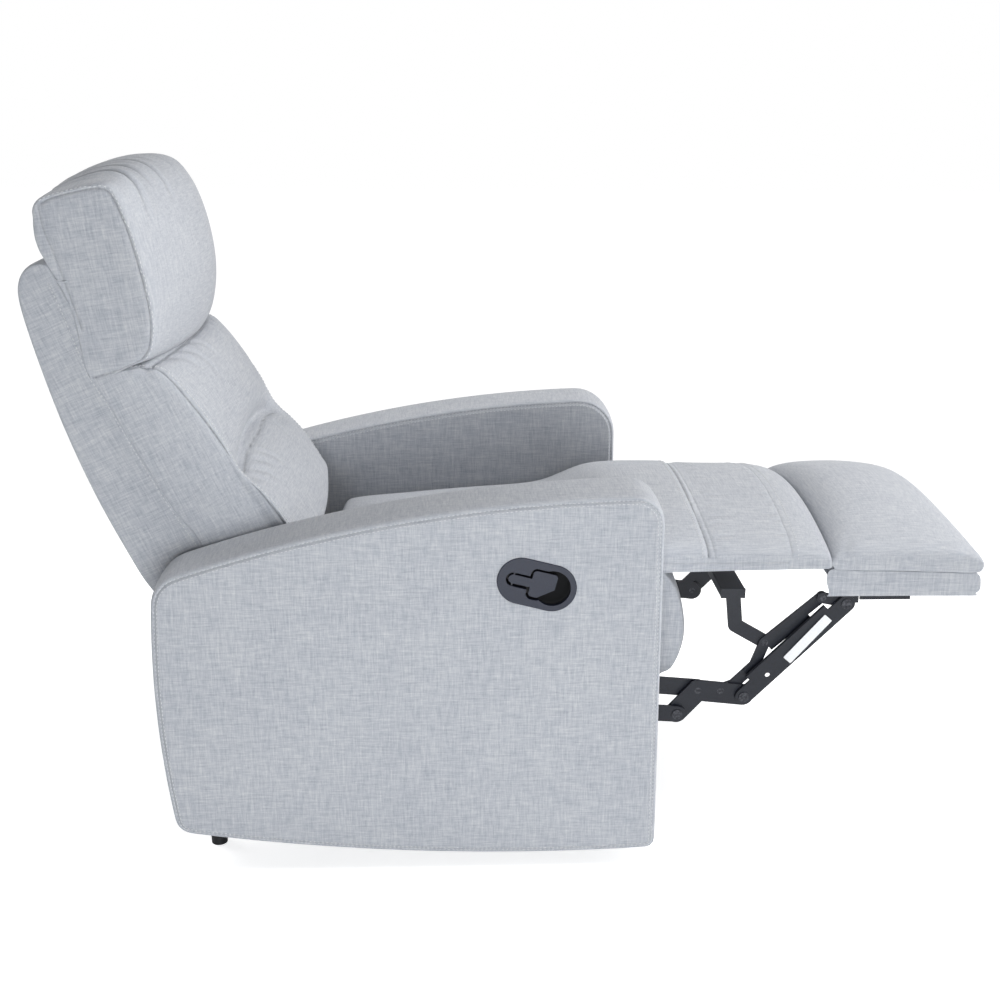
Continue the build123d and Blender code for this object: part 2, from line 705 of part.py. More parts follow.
# Unit vectors along the ottoman links and square to them, towards the seat.
along = (ottoman_link_run[0] / link_length, ottoman_link_run[1] / link_length)
across = (-along[1], along[0])
bow_start = plus(fork_inner_pin, -across[0] * inner_link_bow, -across[1] * inner_link_bow)
bow_start = plus(bow_start, along[0] * inner_link_bow_at, along[1] * inner_link_bow_at)
bow_end = plus(bow_start, along[0] * inner_link_bow_length, along[1] * inner_link_bow_length)
with BuildPart() as inner_link_right:
    with BuildSketch(side_plane(inner_layer)):
        slot(fork_inner_pin, bow_start, inner_link_width)
        slot(bow_start, bow_end, inner_link_width)
        slot(bow_end, strap_pin, inner_link_width)
        slot(strap_pin, ottoman_inner_pin, inner_link_width)
        board_along(
            plus(strap_pin, -across[0] * inner_link_web / 2, -across[1] * inner_link_web / 2),
            plus(ottoman_inner_pin, -across[0] * inner_link_web / 2, -across[1] * inner_link_web / 2),
            inner_link_width + inner_link_web,
            0.0,
            inner_link_web_end,
        )
        pin_holes(fork_inner_pin, strap_pin, ottoman_inner_pin)
    extrude(amount=link_thickness)
finish(inner_link_right, "inner_link_right")
export_mirrored(inner_link_right, "inner_link_left")

with BuildPart() as outer_link_right:
    with BuildSketch(side_plane(outer_layer)):
        slot(fork_outer_pin, ottoman_outer_pin, link_width)
        shoulder_shift = (across[0] * link_shoulder / 2, across[1] * link_shoulder / 2)
        shoulder_from = plus(fork_outer_pin, *shoulder_shift)
        shoulder_to = plus(ottoman_outer_pin, *shoulder_shift)
        board_along(shoulder_from, shoulder_to, link_width + link_shoulder, flange_start, 1 - flange_start)
        pin_holes(fork_outer_pin, ottoman_outer_pin)
        spare_hole = plus(fork_outer_pin, along[0] * spare_hole_at, along[1] * spare_hole_at)
        with Locations(spare_hole):
            Circle(spare_hole_radius, mode=Mode.SUBTRACT)
    extrude(amount=link_thickness)
    # Stiffening flange along the edge towards the seat.
    with BuildSketch(side_plane(outer_layer + link_thickness)):
        flange_shift = (link_width - flange_thickness) / 2 + link_shoulder
        flange_from = plus(fork_outer_pin, across[0] * flange_shift, across[1] * flange_shift)
        flange_to = plus(ottoman_outer_pin, across[0] * flange_shift, across[1] * flange_shift)
        board_along(flange_from, flange_to, flange_thickness, flange_start, 1 - flange_start)
    extrude(amount=flange_height)
finish(outer_link_right, "outer_link_right")
export_mirrored(outer_link_right, "outer_link_left")

# ================================================================ calf support
strap_corner = plus(strap_pin, -strap_reach, strap_rise)
with BuildPart() as strap_right:
    with BuildSketch(side_plane(strap_layer)):
        slot(strap_pin, strap_corner, strap_width)
        slot(strap_corner, support_centre, strap_width)
        with Locations(support_centre):
            Rectangle(support_width, support_height)
        strap_top = support_centre[1] + support_height / 2
        with Locations((support_centre[0], strap_top)):
            Rectangle(2 * support_width, strap_width, align=(Align.CENTER, Align.MIN), mode=Mode.SUBTRACT)
        pin_holes(strap_pin)
    extrude(amount=link_thickness)
finish(strap_right, "strap_right")
export_mirrored(strap_right, "strap_left")

with BuildPart() as strap_pins:
    add(rivet(strap_pin, strap_layer, inner_layer + link_thickness, outer_head=0))
    mirror(about=Plane.XZ)
finish(strap_pins, "strap_pins")

with BuildPart() as calf_support_bar:
    with BuildSketch(side_plane(0)):
        with Locations(support_centre):
            RectangleRounded(support_width, support_height, support_wall)
            Rectangle(support_width - 2 * support_wall, support_height - 2 * support_wall, mode=Mode.SUBTRACT)
    extrude(amount=strap_layer, both=True)
finish(calf_support_bar, "calf_support_bar")

# ================================================================ footrest
board_bottom = board_top - board_thickness
bracket_layer = fork_layer
with BuildPart() as footrest_bracket_right:
    with BuildSketch(side_plane(bracket_layer)):
        slot(ottoman_inner_pin, ottoman_outer_pin, bracket_ear_width)
        with Locations((ottoman_outer_pin[0], board_bottom)):
            Rectangle(bracket_ear_length, bracket_ear_width, align=(Align.CENTER, Align.MAX))
        with Locations((ottoman_outer_pin[0], board_bottom)):
            Rectangle(2 * bracket_ear_length, bracket_ear_width, align=(Align.CENTER, Align.MIN),
                      mode=Mode.SUBTRACT)
        pin_holes(ottoman_inner_pin, ottoman_outer_pin)
        with Locations((ottoman_outer_pin[0] + bracket_flange_ahead, board_bottom)):
            Rectangle(bracket_flange_length, bracket_leg_height, align=(Align.MIN, Align.MAX))
    extrude(amount=link_thickness)
    with BuildSketch(Plane.XY.offset(board_bottom - link_thickness)):
        with Locations((ottoman_outer_pin[0] + bracket_flange_ahead, -bracket_layer)):
            Rectangle(bracket_flange_length, bracket_flange_width, align=(Align.MIN, Align.MIN))
    extrude(amount=link_thickness)
finish(footrest_bracket_right, "footrest_bracket_right")
export_mirrored(footrest_bracket_right, "footrest_bracket_left")

with BuildPart() as footrest_pins:
    add(rivet(ottoman_inner_pin, inner_layer, bracket_layer + link_thickness, outer_head=0))
    add(rivet(ottoman_outer_pin, bracket_layer, outer_layer + link_thickness, inner_head=0))
    mirror(about=Plane.XZ)
finish(footrest_pins, "footrest_pins")

with BuildPart() as footrest_board:
    with BuildSketch(side_plane(0)):
        with Locations(ahead(board_near, board_bottom)):
            Rectangle(footrest_reach - board_near, board_thickness, align=(Align.MIN, Align.MIN))
    extrude(amount=cushion_half - board_side_inset, both=True)
    fillet(footrest_board.edges().filter_by(Axis.Z), board_corner_radius)
finish(footrest_board, "footrest_board")

with BuildPart() as footrest_pad:
    with BuildSketch(side_plane(0)) as pad_side:
        with Locations(ahead(pad_near, board_top)):
            Rectangle(footrest_reach - pad_near, pad_height, align=(Align.MIN, Align.MIN))
        fillet(pad_side.vertices().group_by(Axis.Y)[-1].sort_by(Axis.X)[-1], pad_corner_radius)
    extrude(amount=cushion_half, both=True)
    add(arched_bar(along_chair((0.0, board_top + pad_height)), crown_drop), mode=Mode.INTERSECT)
finish(footrest_pad, "footrest_pad")

# ================================================================ calf pad, between seat and footrest
calf_stretches = (
    ("calf_pad", seat_front_ahead + panel_gap, calf_pad_split),
    ("calf_pad_end", calf_pad_split, pad_near - panel_gap),
)
for label, near, far in calf_stretches:
    with BuildPart() as stretch:
        with BuildSketch(side_plane(0)):
            with Locations(ahead(near, calf_pad_bottom)):
                Rectangle(far - near, calf_pad_top - calf_pad_bottom, align=(Align.MIN, Align.MIN))
        extrude(amount=cushion_half, both=True)
        add(arched_bar(along_chair((0.0, calf_pad_top)), crown_drop), mode=Mode.INTERSECT)
    finish(stretch, label)

# ================================================================ back
stile_foot = ahead(*stile_foot_at)
stile_head = ahead(*stile_head_at)
with BuildPart() as back_frame:
    with BuildSketch(side_plane(stile_inner_y)):
        board_along(stile_foot, stile_head, back_frame_thickness)
    extrude(amount=stile_width)
    mirror(about=Plane.XZ)
    with BuildSketch(side_plane(0)):
        for low in back_rail_places:
            board_along(stile_foot, stile_head, back_frame_thickness, low, low + back_rail_share)
    extrude(amount=stile_inner_y, both=True)
finish(back_frame, "back_frame")

with BuildPart() as back_shell:
    with BuildSketch(side_plane(0)):
        with BuildLine():
            Spline(*[ahead(*point) for point in slab_front])
            ThreePointArc(ahead(*slab_front[-1]), ahead(*slab_crest), ahead(*slab_rear[0]))
            Spline(*[ahead(*point) for point in slab_rear])
            ThreePointArc(ahead(*slab_rear[-1]), ahead(*slab_foot), ahead(*slab_front[0]))
        make_face()
    extrude(amount=back_half, both=True)
    add(back_frame.part, mode=Mode.SUBTRACT)
finish(back_shell, "back_shell")

with BuildPart() as back_solid:
    with BuildSketch(side_plane(0)):
        with BuildLine():
            Spline(*[ahead(*point) for point in slab_front])
            Polyline(ahead(*slab_front[-1]), ahead(-back_reach, slab_front[-1][1]),
                     ahead(-back_reach, slab_front[0][1]), ahead(*slab_front[0]))
        make_face()
    extrude(amount=half_width, both=True)

with BuildPart() as lumbar_cushion:
    with BuildSketch(side_plane(0)):
        with BuildLine():
            ThreePointArc(*[ahead(*point) for point in lumbar_upper])
            ThreePointArc(*[ahead(*point) for point in lumbar_lower])
            Polyline(ahead(*lumbar_lower[-1]), ahead(*lumbar_foot), ahead(*lumbar_behind),
                     ahead(*behind_slab_front), ahead(*lumbar_upper[0]))
        make_face()
    extrude(amount=cushion_half, both=True)
    add(arched_bar(along_chair(lumbar_lower[1], 90.0 - lumbar_lean), lumbar_front_drop), mode=Mode.INTERSECT)
    add(back_solid.part, mode=Mode.SUBTRACT)
finish(lumbar_cushion, "lumbar_cushion")

with BuildPart() as head_pillow:
    with BuildSketch(side_plane(0)):
        with BuildLine():
            ThreePointArc(*[ahead(*point) for point in pillow_rear])
            ThreePointArc(*[ahead(*point) for point in pillow_top])
            ThreePointArc(*[ahead(*point) for point in pillow_front])
            Polyline(ahead(*pillow_front[-1]), ahead(*pillow_root), ahead(*lumbar_upper[0]),
                     ahead(*behind_slab_front), ahead(*pillow_rear[0]))
        make_face()
    extrude(amount=cushion_half, both=True)
    add(arched_bar(along_chair(pillow_front[1], 90.0), pillow_front_drop), mode=Mode.INTERSECT)
    add(arched_bar(along_chair(pillow_top[1]), pillow_top_drop), mode=Mode.INTERSECT)
    add(back_shell.part, mode=Mode.SUBTRACT)
    add(back_solid.part, mode=Mode.SUBTRACT)
    add(lumbar_cushion.part, mode=Mode.SUBTRACT)
finish(head_pillow, "head_pillow")

# ================================================================ back hinges
with BuildPart() as back_hinge_plates:
    with BuildSketch(side_plane(arm_inner_y - hinge_plate_thickness)):
        slot(back_pivot, plus(back_pivot, *hinge_plate_run), hinge_plate_width)
        with Locations(back_pivot):
            Circle(hinge_pin_radius + pin_clearance, mode=Mode.SUBTRACT)
    extrude(amount=hinge_plate_thickness)
    mirror(about=Plane.XZ)
finish(back_hinge_plates, "back_hinge_plates")

with BuildPart() as back_hinge_pins:
    with BuildSketch(side_plane(back_half)):
        with Locations(back_pivot):
            Circle(hinge_pin_radius)
    extrude(amount=arm_inner_y - back_half)
    mirror(about=Plane.XZ)
finish(back_hinge_pins, "back_hinge_pins")

with BuildPart() as back_brackets:
    with BuildSketch(side_plane(back_half)):
        slot(back_pivot, plus(back_pivot, *back_bracket_run), back_bracket_width)
        with Locations(back_pivot):
            Circle(hinge_pin_radius + pin_clearance, mode=Mode.SUBTRACT)
    extrude(amount=hinge_plate_thickness)
    mirror(about=Plane.XZ)
finish(back_brackets, "back_brackets")
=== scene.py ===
# Recliner armchair, dressed: upholstery, stitching, steel linkage, latch, floor, lights and camera.
#
# Lengths are metres in the part's own frame. Places along the chair are written in millimetres as
# (distance ahead of the arms' front faces, height over the floor), as in the part's source.

import json
import math

import bmesh
import bpy
import numpy as np
from mathutils import Matrix, Vector
from mathutils.bvhtree import BVHTree


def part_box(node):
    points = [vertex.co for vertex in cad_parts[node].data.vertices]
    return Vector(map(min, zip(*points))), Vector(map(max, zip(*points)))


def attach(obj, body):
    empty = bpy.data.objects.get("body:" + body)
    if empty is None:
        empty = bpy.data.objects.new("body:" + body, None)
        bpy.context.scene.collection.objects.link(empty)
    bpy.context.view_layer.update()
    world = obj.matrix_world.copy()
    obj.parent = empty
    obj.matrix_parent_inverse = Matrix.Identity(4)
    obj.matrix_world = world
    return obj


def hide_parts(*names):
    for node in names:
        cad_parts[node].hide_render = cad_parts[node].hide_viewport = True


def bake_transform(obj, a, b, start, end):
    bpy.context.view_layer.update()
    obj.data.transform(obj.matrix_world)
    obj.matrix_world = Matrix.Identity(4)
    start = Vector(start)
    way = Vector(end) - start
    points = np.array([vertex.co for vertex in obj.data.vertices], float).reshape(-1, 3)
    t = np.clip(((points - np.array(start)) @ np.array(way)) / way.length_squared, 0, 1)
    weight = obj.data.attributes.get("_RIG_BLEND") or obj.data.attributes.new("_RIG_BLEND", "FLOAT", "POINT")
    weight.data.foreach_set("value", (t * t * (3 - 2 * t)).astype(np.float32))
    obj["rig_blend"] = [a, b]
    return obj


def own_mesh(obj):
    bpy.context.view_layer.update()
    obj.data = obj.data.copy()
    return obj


bl_info = {
    "name": "Recliner armchair",
    "version": (1, 0, 0),
    "blender": (4, 5, 0),
    "location": "View3D > Sidebar > Recliner",
    "description": "Upholsters and finishes a manual recliner armchair",
    "category": "Object",
}

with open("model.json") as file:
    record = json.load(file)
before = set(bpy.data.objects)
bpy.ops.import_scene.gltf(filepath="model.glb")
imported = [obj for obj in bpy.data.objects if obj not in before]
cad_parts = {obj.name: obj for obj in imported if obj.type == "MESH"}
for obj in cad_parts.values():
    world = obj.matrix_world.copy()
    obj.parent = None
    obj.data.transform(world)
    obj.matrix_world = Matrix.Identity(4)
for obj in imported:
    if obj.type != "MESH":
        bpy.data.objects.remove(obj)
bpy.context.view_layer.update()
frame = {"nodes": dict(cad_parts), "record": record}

MM = 0.001
arm_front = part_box("arm_right")[1].x
arm_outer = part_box("arm_left")[1].y
arm_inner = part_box("arm_left")[0].y
cushion_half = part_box("seat_cushion")[1].y
cushion_side = cushion_half / MM
SIDES = (("right", -1), ("left", 1))


# ---- places
def at(distance, y, height):
    """A point given in millimetres ahead of the arm fronts, from the middle, and over the floor."""
    return Vector((arm_front + distance * MM, y * MM, height * MM))


def distances(line):
    """How far along the line each of its points lies."""
    return np.concatenate([[0], np.cumsum(np.linalg.norm(np.diff(line, axis=0), axis=1))])


def sampled(line, marks):
    """The line's points at the given distances along it."""
    along = distances(line)
    return np.stack([np.interp(marks, along, column) for column in line.T], axis=1)


def smooth_path(points, step=0.004):
    """Evenly spaced points on a smooth curve through the given ones."""
    knots = [np.array(p, float) for p in points]
    knots = [2 * knots[0] - knots[1]] + knots + [2 * knots[-1] - knots[-2]]
    line = []
    for a, b, c, d in zip(knots, knots[1:], knots[2:], knots[3:]):
        for t in np.linspace(0, 1, 24, endpoint=False):
            curve = (2 * a - 5 * b + 4 * c - d) * t**2 + (3 * b - a - 3 * c + d) * t**3
            line.append(0.5 * (2 * b + (c - a) * t + curve))
    line = np.array(line + [knots[-2]])
    length = distances(line)[-1]
    return sampled(line, np.linspace(0, length, max(2, int(round(length / step)))))


# ---- materials
def colour(code):
    """An sRGB hex colour as the linear values that shader sockets take."""
    parts = [int(code[i : i + 2], 16) / 255 for i in (1, 3, 5)]
    return tuple(p / 12.92 if p <= 0.04045 else ((p + 0.055) / 1.055) ** 2.4 for p in parts) + (1.0,)


def add_node(tree, kind, settings=None, links=None):
    """Adds one shader node, sets its inputs or properties by name, and links its inputs from other sockets,
    or from other nodes' first outputs."""
    node = tree.nodes.new("ShaderNode" + kind)
    for name, value in (settings or {}).items():
        if isinstance(name, str) and hasattr(node, name):
            setattr(node, name, value)
        else:
            node.inputs[name].default_value = value
    for name, source in (links or {}).items():
        socket = source.outputs[0] if isinstance(source, bpy.types.Node) else source
        tree.links.new(socket, node.inputs[name])
    return node


def maths(tree, operation, *terms, clamp=False):
    """Adds a math node whose terms are floats, sockets, or nodes' first outputs."""
    numbers = {index: term for index, term in enumerate(terms) if isinstance(term, float)}
    sources = {index: term for index, term in enumerate(terms) if index not in numbers}
    return add_node(tree, "Math", {"operation": operation, "use_clamp": clamp, **numbers}, sources)


def surfaced(tree, settings, links):
    """Ends a material's tree in one principled shader."""
    shader = add_node(tree, "BsdfPrincipled", settings, links)
    add_node(tree, "OutputMaterial", None, {"Surface": shader})


def new_material(name):
    """A material with nothing in its node tree, and that tree."""
    material = bpy.data.materials.new(name)
    material.use_nodes = True
    material.node_tree.nodes.clear()
    return material, material.node_tree


# Slub length and thread pitch, in metres. Linen-look polyester has about one thread a millimetre, too fine
# to show from across a room, so the pattern's coarsest octave is drawn about two and a half threads wide.
slub_length = 0.03
thread_pitch = 0.0024


def linen(name, turn=0.0):
    """Woven polyester in a linen look: slubbed threads both ways, lighter and bluer by turns.
    The threads lie square to the panel, so leaning panels turn the pattern about the sideways axis."""
    material, tree = new_material(name)
    place = add_node(tree, "TexCoord")
    laid, facing = (
        add_node(tree, "Mapping", {"vector_type": kind, "Rotation": (0, turn, 0)}, {"Vector": source})
        for kind, source in (("POINT", place.outputs["Object"]), ("NORMAL", place.outputs["Normal"]))
    )
    split = add_node(tree, "SeparateXYZ", None, {0: facing})
    # One set of slubs runs along each axis, and shows on the faces that the axis lies in.
    total = None
    for axis in range(3):
        scale = [1 / thread_pitch] * 3
        scale[axis] = 1 / slub_length
        stretched = add_node(tree, "Mapping", {"Scale": scale}, {"Vector": laid})
        fine = {"Scale": 1.0, "Detail": 4.0, "Roughness": 0.8}
        slub = add_node(tree, "TexNoise", fine, {"Vector": stretched})
        centred = maths(tree, "SUBTRACT", slub, 0.5)
        across = maths(tree, "ABSOLUTE", split.outputs[axis])
        shown = maths(tree, "SUBTRACT", 1.0, across, clamp=True)
        part = maths(tree, "MULTIPLY", centred, shown)
        total = part if total is None else maths(tree, "ADD", total, part)
    # Dye takes unevenly over a hand's breadth.
    tone = add_node(tree, "TexNoise", {"Scale": 9.0, "Detail": 2.0}, {"Vector": laid})
    threads = maths(tree, "MULTIPLY_ADD", total, 1.1, 0.5)
    dye = maths(tree, "MULTIPLY_ADD", tone, 0.12, -0.06)
    level = maths(tree, "ADD", threads, dye)
    ramp = add_node(tree, "ValToRGB", None, {"Fac": level})
    stops = ramp.color_ramp.elements
    stops[0].position, stops[0].color = 0.15, colour("#9a9ea8")
    stops[1].position, stops[1].color = 0.85, colour("#cfd0d1")
    stops.new(0.5).color = colour(bpy.context.scene.recliner_cloth.cloth_colour)
    bump = add_node(tree, "Bump", {"Strength": 0.35, "Distance": 0.0006}, {"Height": level})
    # Painted shade: the cloth's colour is darkened in seams, folds and creases by as much as the piece's
    # seam_shade attribute says.
    seam = add_node(tree, "Attribute", {"attribute_name": "seam_shade"})
    kept = maths(tree, "MULTIPLY_ADD", seam.outputs["Fac"], -0.62, 1.0)
    shaded = add_node(tree, "VectorMath", {"operation": "SCALE"}, {"Vector": ramp, "Scale": kept})
    soft = {"Roughness": 0.92, "Specular IOR Level": 0.25, "Sheen Weight": 0.12, "Sheen Roughness": 0.6}
    surfaced(tree, soft, {"Base Color": shaded, "Normal": bump})
    return material


def spun_thread(name):
    """Bonded polyester sewing thread, a shade paler than the cloth, faintly glossy."""
    material, tree = new_material(name)
    place = add_node(tree, "TexCoord")
    twist = add_node(tree, "TexNoise", {"Scale": 900.0, "Detail": 1.0}, {"Vector": place.outputs["Object"]})
    ramp = add_node(tree, "ValToRGB", None, {"Fac": twist.outputs["Fac"]})
    stops = ramp.color_ramp.elements
    stops[0].color, stops[1].color = colour("#b9bcc2"), colour("#e4e4e2")
    surfaced(tree, {"Roughness": 0.6}, {"Base Color": ramp})
    return material


def finish_material(name, dark, light, grain, roughness, depth, metallic=0.0, stretch=(1, 1, 1), spread=0.08):
    """A hard finish: two close colours over a grain of the given size in metres, with a fine bump."""
    material, tree = new_material(name)
    place = add_node(tree, "TexCoord")
    laid = add_node(tree, "Mapping", {"Scale": stretch}, {"Vector": place.outputs["Object"]})
    fine = {"Scale": 1 / grain, "Detail": 4.0, "Roughness": 0.6}
    texture = add_node(tree, "TexNoise", fine, {"Vector": laid})
    ramp = add_node(tree, "ValToRGB", None, {"Fac": texture.outputs["Fac"]})
    stops = ramp.color_ramp.elements
    stops[0].position, stops[0].color = 0.35, colour(dark)
    stops[1].position, stops[1].color = 0.65, colour(light)
    reach = {"To Min": roughness - spread, "To Max": roughness + spread}
    rough = add_node(tree, "MapRange", reach, {"Value": texture.outputs["Fac"]})
    bump = add_node(tree, "Bump", {"Strength": 0.4, "Distance": depth}, {"Height": texture.outputs["Fac"]})
    surfaced(tree, {"Metallic": metallic}, {"Base Color": ramp, "Roughness": rough, "Normal": bump})
    return material


def shade_painted_in_recess(material):
    """Paints shade on the moulding: darker below its outer face, inside the recess where no light gets in."""
    tree = material.node_tree
    shader = next(node for node in tree.nodes if node.type == "BSDF_PRINCIPLED")
    source = shader.inputs["Base Color"].links[0].from_socket
    face = -arm_outer
    place = add_node(tree, "TexCoord")
    split = add_node(tree, "SeparateXYZ", None, {0: place.outputs["Object"]})
    level = add_node(
        tree,
        "MapRange",
        {"From Min": face + 0.0005, "From Max": face + 0.006, "To Min": 1.0, "To Max": 0.06},
        {"Value": split.outputs[1]},
    )
    deep = add_node(tree, "VectorMath", {"operation": "SCALE"}, {"Vector": source, "Scale": level})
    tree.links.new(deep.outputs[0], shader.inputs["Base Color"])
    return material


finishes = {}


def finish_named(name):
    """Each finish is made once, on first use."""
    makers = {
        "linen": lambda: linen("linen_look_weave"),
        "linen_back": lambda: linen("linen_look_weave_on_the_back", math.radians(24)),
        "linen_pillow": lambda: linen("linen_look_weave_on_the_pillow", math.radians(8)),
        "thread": lambda: spun_thread("polyester_thread"),
        # Powder coat: near black, satin, with a fine orange peel.
        "steel": lambda: finish_material("black_powder_coat", "#0c0f18", "#151a26", 0.0016, 0.36, 0.00008),
        # Riveted steel darkened in oil: the heads wear to a dull grey.
        "rivet": lambda: finish_material(
            "oiled_rivet_steel", "#2e2f33", "#55565b", 0.004, 0.38, 0.00005, metallic=0.85
        ),
        # Injection-moulded ABS with a spark-eroded grain, darkened inside the recess by painted shade.
        "latch": lambda: shade_painted_in_recess(finish_material("grained_abs", "#121728", "#192033", 0.0012, 0.5, 0.00012)),
        # Painted shade: a near-black cup darkens the finger recess, where the black plastic lies in shade.
        "latch_recess_shade": lambda: finish_material(
            "painted_recess_shade", "#060709", "#0b0c10", 0.0008, 0.95, 0.0001, spread=0.02
        ),
        # Smooth moulded polypropylene, a little glossy.
        "glide": lambda: finish_material("moulded_polypropylene", "#141416", "#1c1c1f", 0.002, 0.45, 0.00008),
        # Sawn softwood: growth rings a few millimetres apart, dull.
        "timber": lambda: finish_material(
            "sawn_pine", "#b98f5e", "#d8b585", 0.006, 0.7, 0.0003, stretch=(0.15, 0.15, 1.0)
        ),
        # Elastic webbing: coarse dark yarn with no shine.
        "webbing": lambda: finish_material("elastic_webbing", "#1d1e22", "#303238", 0.0025, 0.85, 0.0003),
        # Extruded PVC sleeve and plain coated paper.
        "sleeve": lambda: finish_material("pvc_sleeve", "#121214", "#1a1a1c", 0.003, 0.4, 0.00005),
        "label": lambda: finish_material("blank_paper_label", "#eef0f2", "#f7f8f8", 0.003, 0.6, 0.00003),
    }
    if name not in finishes:
        finishes[name] = makers[name]()
    return finishes[name]


# ---- forms
def placed(name, data):
    """A new object in the scene that shows the given data."""
    piece = bpy.data.objects.new(name, data)
    bpy.context.scene.collection.objects.link(piece)
    return piece


def object_from(bm, name):
    """Turns a bmesh into an object with outward normals and smooth shading, and frees the bmesh."""
    bmesh.ops.recalc_face_normals(bm, faces=bm.faces)
    mesh = bpy.data.meshes.new(name)
    bm.to_mesh(mesh)
    bm.free()
    mesh.polygons.foreach_set("use_smooth", [True] * len(mesh.polygons))
    return placed(name, mesh)


def extruded(bm, faces, shift, keep=False):
    """Extrudes faces and shifts what was made, and returns it."""
    made = bmesh.ops.extrude_face_region(bm, geom=faces, use_keep_orig=keep)["geom"]
    bmesh.ops.translate(bm, verts=[g for g in made if isinstance(g, bmesh.types.BMVert)], vec=shift)
    return made


def applied(piece):
    """Replaces the piece's mesh by what its modifiers make of it."""
    bpy.context.view_layer.update()
    shown = piece.evaluated_get(bpy.context.evaluated_depsgraph_get())
    mesh = bpy.data.meshes.new_from_object(shown)
    piece.modifiers.clear()
    piece.data = mesh
    mesh.polygons.foreach_set("use_smooth", [True] * len(mesh.polygons))
    return piece


def subdivided(piece, levels):
    """Smooths the piece by Catmull-Clark subdivision."""
    modifier = piece.modifiers.new("finer", "SUBSURF")
    modifier.levels = levels
    modifier.render_levels = levels
    return applied(piece)


def tight(points, corners, reach=4.0):
    """The outline with the numbered corners tripled, so that smoothing leaves them crisp."""
    made = []
    for index, point in enumerate(points):
        here = np.array(point, float)
        if index not in corners:
            made.append(here)
            continue
        before, after = (np.array(points[k % len(points)], float) - here for k in (index - 1, index + 1))
        before, after = (here + way / np.linalg.norm(way) * reach for way in (before, after))
        made += [before, here, after]
    return made


def guides(points):
    """Guide points whose smoothed outline passes through the given ones."""
    count = len(points)
    rows = np.eye(count) * 4 + np.roll(np.eye(count), 1, axis=1) + np.roll(np.eye(count), -1, axis=1)
    return np.linalg.solve(rows / 6, np.array(points, float))


def bridged(bm, rings):
    """Joins each ring of vertices to the next one with a band of four-sided faces."""
    for first, second in zip(rings, rings[1:]):
        for k in range(len(first)):
            n = (k + 1) % len(first)
            bm.faces.new((first[k], first[n], second[n], second[k]))


def cushion(name, side, middle, half, steps, corners=(), edge_inset=0.008, levels=4):
    """A closed crowned form: a side outline at each end, swelling to the middle outline between them.
    Outlines are (ahead, height) in millimetres; steps are (share of half, share of swell), ends first."""
    side, middle = guides(tight(side, corners)), guides(tight(middle, corners))
    bm = bmesh.new()
    stations = list(steps) + [(-share, swell) for share, swell in reversed(steps[:-1])]
    rings = []
    for share, swell in stations:
        ring = side + (middle - side) * swell
        rings.append([bm.verts.new(at(d, -half * share / MM, h)) for d, h in ring])
    bridged(bm, rings)
    ends = [bm.faces.new(rings[0]), bm.faces.new(rings[-1])]
    bmesh.ops.recalc_face_normals(bm, faces=bm.faces)
    bmesh.ops.inset_individual(bm, faces=ends, thickness=edge_inset)
    return subdivided(object_from(bm, name), levels)


# Shares of the half width, from the side to the middle, and how far the form has swelled there.
SOFT_STEPS = ((1.0, 0.0), (0.975, 0.3), (0.92, 0.55), (0.8, 0.8), (0.55, 0.95), (0.0, 1.0))
CROWN_STEPS = (
    (1.0, 0.0), (0.985, 0.1), (0.95, 0.2), (0.88, 0.32), (0.78, 0.46), (0.67, 0.6), (0.56, 0.72),
    (0.45, 0.82),
    (0.33, 0.9), (0.2, 0.96), (0.0, 1.0),
)
PAD_STEPS = (
    (1.0, 0.0), (0.985, 0.15), (0.95, 0.26), (0.88, 0.38), (0.75, 0.55), (0.55, 0.76), (0.3, 0.93),
    (0.0, 1.0),
)
LUMBAR_STEPS = (
    (1.0, 0.0), (0.985, 0.07), (0.95, 0.15), (0.88, 0.27), (0.75, 0.44), (0.55, 0.69), (0.3, 0.91),
    (0.0, 1.0),
)
FLAT_STEPS = ((1.0, 0.0), (0.985, 0.6), (0.95, 0.9), (0.6, 1.0), (0.0, 1.0))


def across_chair(middle_ahead, side_ahead, middle_height, side_height):
    """Points from side to side over a crowned piece, bowed in plan and in height."""
    points = []
    for share in np.linspace(-1, 1, 25):
        bow = share**2
        ahead = middle_ahead + (side_ahead - middle_ahead) * bow
        points.append(at(ahead, share * cushion_side, middle_height + (side_height - middle_height) * bow))
    return points


def mesh_arrays(piece):
    """The piece's vertices and their normals, as rows of three."""
    vertices = piece.data.vertices
    arrays = []
    for kind in ("co", "normal"):
        flat = np.empty(len(vertices) * 3, np.float64)
        vertices.foreach_get(kind, flat)
        arrays.append(flat.reshape(-1, 3))
    return arrays


def move_vertices(piece, co):
    """Sets the piece's vertices from rows of three."""
    piece.data.vertices.foreach_set("co", np.ascontiguousarray(co, np.float32).ravel())
    piece.data.update()


def nearest_on_path(co, path):
    """Each vertex's distance from a sampled path, and how far along it the nearest sample is.
    Vertices over 50 mm from the path's box count as a metre away."""
    margin, batch = 0.05, 4000
    near = np.all((co > path.min(0) - margin) & (co < path.max(0) + margin), axis=1)
    gap = np.full(len(co), 1.0)
    mark = np.zeros(len(co), int)
    chosen = np.flatnonzero(near)
    for start in range(0, len(chosen), batch):
        part = chosen[start : start + batch]
        apart = np.linalg.norm(co[part, None, :] - path[None, :, :], axis=2)
        mark[part] = apart.argmin(1)
        gap[part] = apart.min(1)
    return gap, mark


def surface_tree(piece):
    """A search tree of the piece's faces."""
    mesh = piece.data
    return BVHTree.FromPolygons([v.co for v in mesh.vertices], [p.vertices for p in mesh.polygons])


def on_surface(piece, path, tree=None):
    """The path's points moved onto the piece, with the surface's normal at each."""
    tree = tree or surface_tree(piece)
    hits = [tree.find_nearest(Vector(p)) for p in path]
    return np.array([h[0] for h in hits]), np.array([h[1] for h in hits])


